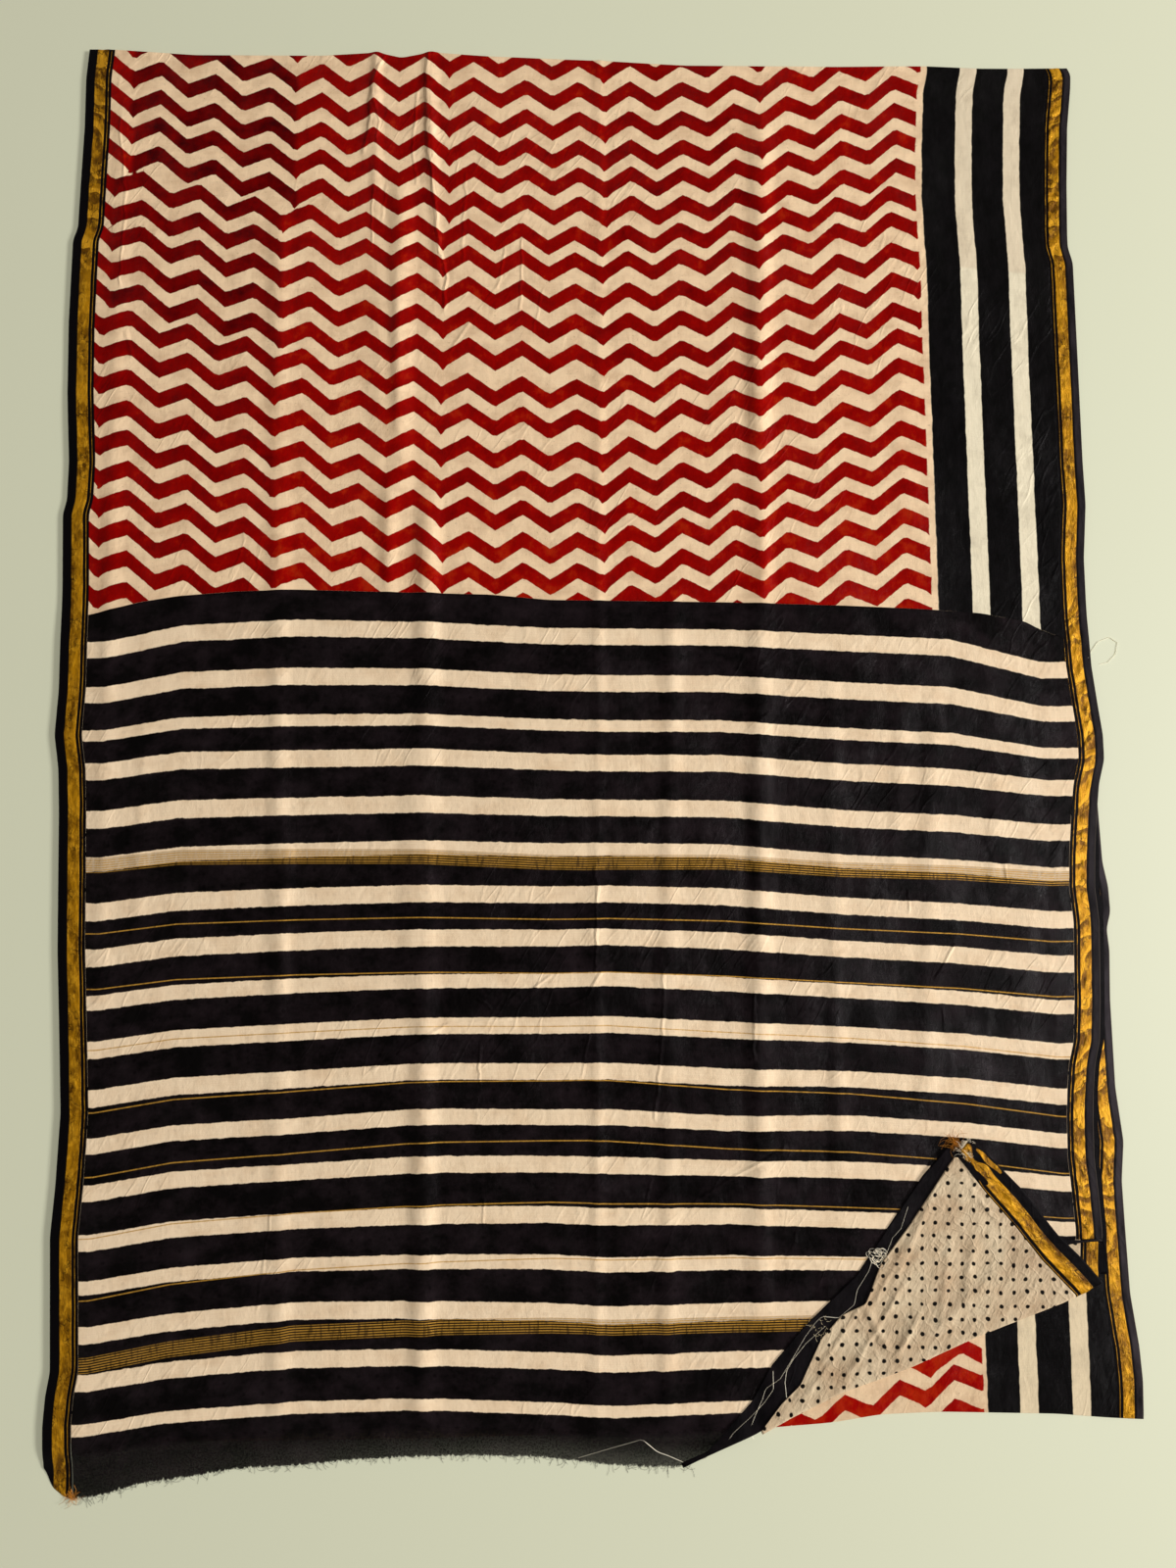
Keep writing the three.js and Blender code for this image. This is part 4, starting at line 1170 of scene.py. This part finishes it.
def top_border(name, x_left, x_right, low, rows, start, inward, smooth):
    """A border of the top sheet: its crinkles on the sheet's form, and the top fold."""
    x, y = sheet_grid(x_left, x_right, low, fold_line, rows, BORDER_COLUMNS, start)
    z = top_middle(x, y) + crinkles(y, inward(x, y), rough_zari(y, smooth)) * come_down(y)
    x, y, z = over_fold(x, y, z)
    return cloth_mesh(name, x, y, z, inward(x, y) * MM, y * MM, inward_mm=inward(x, y),
                      rough=rough_zari(y, smooth))


border_left = top_border("border_left_cloth", left_edge, left_inner, pallu_end,
                         520, -550.0, from_left, LEFT_SMOOTH)
finish_cloth(border_left, black_selvedge, ["border_left"])
border_right = top_border("border_right_cloth", right_inner, right_edge, lambda x: CORNER_Y + 0 * x,
                          440, 530.0, from_right, RIGHT_SMOOTH)
finish_cloth(border_right, border_material("woven_border_thin", 0.3),
             ["border_right"])


# Turned corner: the pallu and the blouse piece below it are turned up together, so the blouse piece's
# dotted face lies on top and a strip of the pallu's black reverse shows beside it.
TURN_RADIUS = 2.0
FLAP_GAP = 0.6
SETTLE_RUN = 28
TIP = np.array([380, -440])
TIP_LIFT = 2.0
TIP_REACH = 60
PALLU_FREE = [
    (70, -772), (82, -752), (111, -740), (133, -717), (159, -690), (179, -656), (212, -620),
    (242, -593), (269, -569), (300, -526), (341, -470), (370, -438), (377, -433), (386, -446),
    (440, -494), (482, -536), (530, -539),
]
BLOUSE_FREE = [
    (165, -721), (168, -717), (188, -693), (208, -675), (231, -630), (252, -608), (278, -596),
    (295, -557), (326, -519), (369, -458), (377, -448),
]
BORDER_INNER = [(377, -448), (407, -487), (438, -523), (463, -556), (496, -591)]
BORDER_OUTER = [
    (390, -434), (402, -440), (424, -462), (447, -486), (481, -531), (506, -556), (524, -578),
]
# Crinkles of the dotted cloth: from, to, half width and height
FLAP_CREASES = [
    (271, -588, 304, -652, 3.0, 1.7), (304, -652, 337, -599, 3.0, 1.7),
    (360, -470, 300, -590, 3.0, 1.2), (345, -500, 270, -620, 3.0, 1.0),
    (330, -560, 240, -690, 3.0, 1.2), (395, -520, 380, -600, 4.0, 1.0),
    (420, -560, 330, -640, 5.0, 0.9), (380, -470, 420, -520, 2.5, 0.9),
    (300, -560, 220, -670, 2.5, 1.0), (460, -580, 400, -620, 4.0, 0.8),
    (370, -520, 350, -640, 4.0, 1.0), (250, -640, 200, -700, 3.0, 0.8),
]
FLAP_TURN = np.radians(43.2)  # the cloth's own axes on the flap, from the fold line's slant
DOTTED_ROWS = 80

pallu_free = corner_line(PALLU_FREE, 3)
blouse_free = corner_line(BLOUSE_FREE + BORDER_INNER[1:], 3)


def smooth_top(x, y):
    """The pallu's middle without its tucks, which the flap bridges."""
    held = np.maximum(y, bottom_fold(x) + FOLD_OUT)
    height = stack_top(x, held) + GAP + 2 * LAYER + WALL / 2
    return FLOOR_MIDDLE + (height - FLOOR_MIDDLE) * come_down(y)


def flap_middle(x, y, layer):
    """Middle of a turned sheet: down from the roll to lie on the pallu, and lifted at the tip. layer
    is 0 for the pallu and 1 for the blouse piece on it."""
    along, inward = corner_frame(x, y)
    settled = ease(inward - pallu_fold(along), 0, SETTLE_RUN)
    height = 2 * TURN_RADIUS + (WALL + FLAP_GAP - 2 * TURN_RADIUS) * settled
    from_tip = np.hypot(x - TIP[0], y - TIP[1])
    lift = TIP_LIFT * np.exp(-((from_tip / TIP_REACH) ** 2))
    return smooth_top(x, y) + height + lift + layer * (WALL + FLAP_GAP)


def flap_roll(x, y, top, bottom):
    """Rows round the fold: a half circle outward from the fold line, between the turned sheet's level
    and the flat one's."""
    angle = np.radians(np.linspace(-90, 90, 13))[:-1, None]
    radius = (top - bottom)[None, :] / 2
    out = -radius * np.cos(angle)
    return (x[None, :] + out * CORNER_INWARD[0], y[None, :] + out * CORNER_INWARD[1],
            bottom[None, :] + radius * (1 + np.sin(angle)))


def turned_cloth(along, fold, free, layer, rows):
    """A turned sheet: the roll, then rows from the fold line to the free edge."""
    low = fold(along)
    high = np.maximum(free(along), low + 0.6)
    t = np.linspace(0, 1, rows)[:, None]
    x, y = from_corner_frame(along[None, :] + 0 * t, low[None, :] + t * (high - low)[None, :])
    z = flap_middle(x, y, layer)
    flat = smooth_top(x[0], y[0]) - layer * LAYER
    return join(flap_roll(x[0], y[0], z[0], flat), (x, y, z))


def corner_ends(points):
    """The least and greatest place along the corner's fold lines."""
    along, _ = corner_frame(*np.array(points, float).T)
    return along.min(), along.max()


def black_material():
    """The pallu's reverse: black, with lighter patches that are partly the brown of the print's other
    side and partly painted sheen.
    """
    material, tree, shader = new_material("black_cloth")
    u, v = cloth_place(tree)
    height, slub = weave(tree, u, v)
    wear_and_sheen = mottle(tree, u, v, 40, 40, 8.0, 5.0, 0.65)
    satin(tree, shader, tint(tree, wear_and_sheen.over(0.58, 0.2) * 0.5, "090809", "241d21"), 0.5)
    raise_up(tree, shader, height, WEAVE_DEPTH)
    return material


start, end = corner_ends([(84, -750), (528, -538)])
black_along = np.linspace(start, end, 110)
turn_x, turn_y, turn_z = turned_cloth(black_along, pallu_fold, pallu_free, 0, 60)
pallu_turned = cloth_mesh("pallu_turned_cloth", turn_x, turn_y, turn_z, turn_x * MM, turn_y * MM)
finish_cloth(pallu_turned, black_material(), ["pallu_turned"])

start, end = corner_ends([(166, -719), (496, -591)])
dotted_along = np.linspace(start, end, 120)
turn_x, turn_y, turn_z = turned_cloth(dotted_along, blouse_fold, blouse_free, 1, DOTTED_ROWS)
turn_z[-DOTTED_ROWS:] += tucks(turn_x[-DOTTED_ROWS:], turn_y[-DOTTED_ROWS:], FLAP_CREASES)
flap_u = turn_x * np.cos(FLAP_TURN) + turn_y * np.sin(FLAP_TURN)
flap_v = turn_x * np.sin(FLAP_TURN) - turn_y * np.cos(FLAP_TURN)
blouse_turned = cloth_mesh("blouse_turned_cloth", turn_x, turn_y, turn_z, flap_u * MM, flap_v * MM)


def along_path(points, count):
    """So many points, evenly spaced along a line through measured points."""
    path = np.array(points, float)
    run = np.concatenate([[0], np.cumsum(np.hypot(*np.diff(path, axis=0).T))])
    at = np.linspace(0, run[-1], count)
    return np.stack([np.interp(at, run, path[:, k]) for k in (0, 1)], axis=-1)


# Loose threads at the corner: pale yarns pulled out of the cut edge, a tangle of them, and floss and
# zari at the tip. Each yarn is a path, and lies on what is below it. The last one hangs from the right
# border.
LOOSE_YARNS = (
    [(287, -550), (282, -564), (269, -583), (266, -597), (249, -610), (232, -608), (225, -614),
     (214, -628), (199, -651), (187, -669), (172, -678), (169, -687), (160, -705), (154, -719),
     (159, -728)],
    [(235, -618), (215, -634), (200, -651), (194, -661), (192, -672), (193, -687)],
    [(180, -661), (180, -679), (170, -692), (155, -706), (138, -720), (125, -738), (109, -747),
     (89, -751), (61, -740), (45, -726), (12, -735), (-20, -744)],
    [(325, -500), (317, -522), (308, -531), (300, -549), (289, -556)],
    [(545, 78), (559, 97), (572, 102), (581, 96), (578, 83), (569, 74), (560, 72)],
)
TANGLE, TANGLE_LOOPS = np.array([292, -549]), 7
YARN_POINTS = 60
YARN_RADIUS, HAIR_RADIUS = 0.32, 0.17


def thread_level(x, y):
    """Height just above whatever lies on top there: the floor, the pallu or the turned corner."""
    along, inward = corner_frame(x, y)
    open_floor = (y < pallu_end(x)) | (x > right_edge(y))
    level = np.where(open_floor, 0.6, top_middle(x, np.maximum(y, pallu_end(x))) + 0.5)
    on_black = (inward > pallu_fold(along)) & (inward < pallu_free(along))
    level = np.where(on_black, flap_middle(x, y, 0) + 0.6, level)
    on_dots = (inward > blouse_fold(along)) & (inward < blouse_free(along))
    return np.where(on_dots, flap_middle(x, y, 1) + 0.8, level)


def laid_threads(paths):
    """Points along each path, at a height averaged over seven of them, as a stiff yarn lies."""
    laid = np.stack([along_path(path, YARN_POINTS) for path in paths])
    level = thread_level(laid[..., 0], laid[..., 1])
    soft = np.ones(7) / 7
    level = np.stack([np.convolve(np.pad(row, 3, mode="edge"), soft, "valid") for row in level])
    return np.concatenate([laid, level[..., None]], axis=-1)


yarn_rng = np.random.default_rng(12)
yarn_paths = [np.array(path, float) for path in LOOSE_YARNS]
for _ in range(TANGLE_LOOPS):
    angle = np.linspace(0, yarn_rng.uniform(5, 9), 24) + yarn_rng.uniform(0, 6)
    size = yarn_rng.uniform(3, 8) * (1 + 0.3 * np.sin(3 * angle))
    middle = TANGLE + yarn_rng.normal(scale=3.0, size=2)
    yarn_paths.append(middle + np.stack([size * np.cos(angle), 0.8 * size * np.sin(angle)], axis=-1))
yarn = thread_material("pale_thread", "f6ecd8", 0.3)
loose_threads = strands("loose_threads", laid_threads(yarn_paths), YARN_RADIUS, yarn)

# Hairs: each tuft's place and size, how many, where they head, the longest, and the colour
TUFTS = (
    ("tip_zari", (377, -437), 6, 70, 120, 17, "b4741c"),
    ("tip_floss", (388, -445), 7, 340, 60, 9, "f6ecd8"),
    ("edge_floss", (230, -618), 13, 24, 200, 8, "d9c8a4"),
    ("corner_zari", (-529, -766), 5, 60, -70, 14, "a86a14"),
)


def tuft(name, place, size, count, heading, longest, code):
    """Hairs from roots scattered round a place, each rising or sinking evenly along its length."""
    root = np.array(place) + size * yarn_rng.normal(size=(count, 2)) * 0.5
    root = np.column_stack([root, thread_level(root[:, 0], root[:, 1]) + 1])
    made = hairs(root, heading, 45, 2, longest, yarn_rng)
    rise = yarn_rng.uniform(-0.4, 1.4, (count, 1))
    made[..., 2] = np.maximum(root[:, 2:] + np.linspace(0, 1, made.shape[1]) * rise, 0.5)
    return strands(name, made, HAIR_RADIUS, thread_material(name, code, 0.3))


tufts = [tuft(*entry) for entry in TUFTS]
finish_cloth(blouse_turned, dotted, ["blouse_turned"])

# The border on the turned corner: the blouse piece's own, from the tip to the fold. Its inner edge
# waves a little near the tip, where it was pulled.
STRIP_LENGTH, STRIP_WIDTH, STRIP_ROWS = 190, 26, 90
WAVE_HEIGHT, WAVE_REACH, WAVE_RUN = 7, 26, 5
inner_path = along_path(BORDER_INNER, STRIP_ROWS)
outer_path = along_path(BORDER_OUTER, STRIP_ROWS)
across = np.linspace(0, 1, BORDER_COLUMNS)[None, :]
strip_x = inner_path[:, :1] + across * (outer_path[:, :1] - inner_path[:, :1])
strip_y = inner_path[:, 1:] + across * (outer_path[:, 1:] - inner_path[:, 1:])
strip_along = np.linspace(0, STRIP_LENGTH, STRIP_ROWS)[:, None] + 0 * strip_x
wave = WAVE_HEIGHT * np.exp(-(strip_along / WAVE_REACH) ** 2) * np.sin(strip_along / WAVE_RUN + 1)
strip_in = (1 - across) * STRIP_WIDTH + wave
strip_z = flap_middle(strip_x, strip_y, 1) + crinkles(strip_along, strip_in, 1.0) + 0.1
fold_flat = smooth_top(strip_x[-1], strip_y[-1]) - LAYER
strip_roll = flap_roll(strip_x[-1], strip_y[-1], strip_z[-1], fold_flat)
fold_x, fold_y, fold_z = [part[::-1] for part in strip_roll]
strip_x, strip_y, strip_z = join((strip_x, strip_y, strip_z), (fold_x, fold_y, fold_z))
strip_in = np.concatenate([strip_in, np.repeat(strip_in[-1:], len(fold_x), axis=0)])
round_fold = np.linspace(1, 10, len(fold_x))[:, None]
strip_along = np.concatenate([strip_along, strip_along[-1:] + round_fold])
blouse_turned_border = cloth_mesh("blouse_turned_border_cloth", strip_x, strip_y, strip_z,
                                  strip_in * MM, strip_along * MM, inward_mm=strip_in)

# At the tip the pallu's own border lies crumpled with it: strips from, to, width, and how far in from
# the woven edge they show (the zari, or the black selvedge)
TIP_STRIPS = (
    (398, -442, 423, -467, 5.5, 15.0), (379, -440, 412, -473, 2.5, 16.0),
    (382, -452, 408, -478, 7.0, 4.0), (392, -455, 404, -468, 3.0, 15.0),
)
for number, (x0, y0, x1, y1, width, inside) in enumerate(TIP_STRIPS):
    run = np.linspace(0, 1, 16)[:, None]
    narrowed = np.sqrt(np.sin(np.pi * (0.04 + 0.92 * run)))
    side = (np.linspace(0, 1, 5)[None, :] - 0.5) * width * narrowed
    slope = np.array([y1 - y0, x0 - x1]) / np.hypot(x1 - x0, y1 - y0)
    piece_x = x0 + run * (x1 - x0) + side * slope[0] + 0.8 * np.sin(9 * run)
    piece_y = y0 + run * (y1 - y0) + side * slope[1]
    piece_z = flap_middle(piece_x, piece_y, 1) + 1.1 + 0.3 * number + 0.3 * np.sin(14 * run)
    piece = cloth_mesh(f"tip_strip_{number}", piece_x, piece_y, piece_z, piece_x * MM, piece_y * MM,
                       inward_mm=inside + side)
    piece.data.materials.append(black_selvedge)
    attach(piece, "root")
finish_cloth(blouse_turned_border, black_selvedge, ["blouse_turned_border"])


# Floor and light: a plain pale floor, soft window light from the right and an even sky.
FLOOR_SIZE = 8
floor_mesh = bpy.data.meshes.new("floor")
half = FLOOR_SIZE / 2
floor_mesh.from_pydata([(-half, -half, 0), (half, -half, 0), (half, half, 0), (-half, half, 0)],
                       [], [(0, 1, 2, 3)])
floor = bpy.data.objects.new("floor", floor_mesh)
scene.collection.objects.link(floor)
floor_material, _, floor_shader = new_material("floor")
floor_shader.inputs["Base Color"].default_value = colour("d9dac0")
floor_shader.inputs["Roughness"].default_value = 0.6
floor_mesh.materials.append(floor_material)

# The window is made of two lamps from the same side. Only the higher one casts shadows, because the
# real layers are thinner than these.
for label, energy, height, shadow in (("window", 500, 4.6, True), ("window_low", 480, 2.7, False)):
    window_data = bpy.data.lights.new(label, "AREA")
    window_data.shape = "RECTANGLE"
    window_data.size, window_data.size_y = 2.2, 1.8
    window_data.energy = energy
    window_data.color = (1.0, 0.995, 0.975)
    window_data.use_shadow = shadow
    window = bpy.data.objects.new(label, window_data)
    window.location = (7.0, -0.6, height)
    window.rotation_euler = (Vector((0, 0, 0)) - window.location).to_track_quat("-Z", "Y").to_euler()
    scene.collection.objects.link(window)

sky = bpy.data.worlds.new("sky")
sky.use_nodes = True
sky.node_tree.nodes["Background"].inputs["Color"].default_value = (1.0, 0.97, 0.88, 1)
sky.node_tree.nodes["Background"].inputs["Strength"].default_value = 0.235
scene.world = sky
scene.view_settings.view_transform = "Standard"
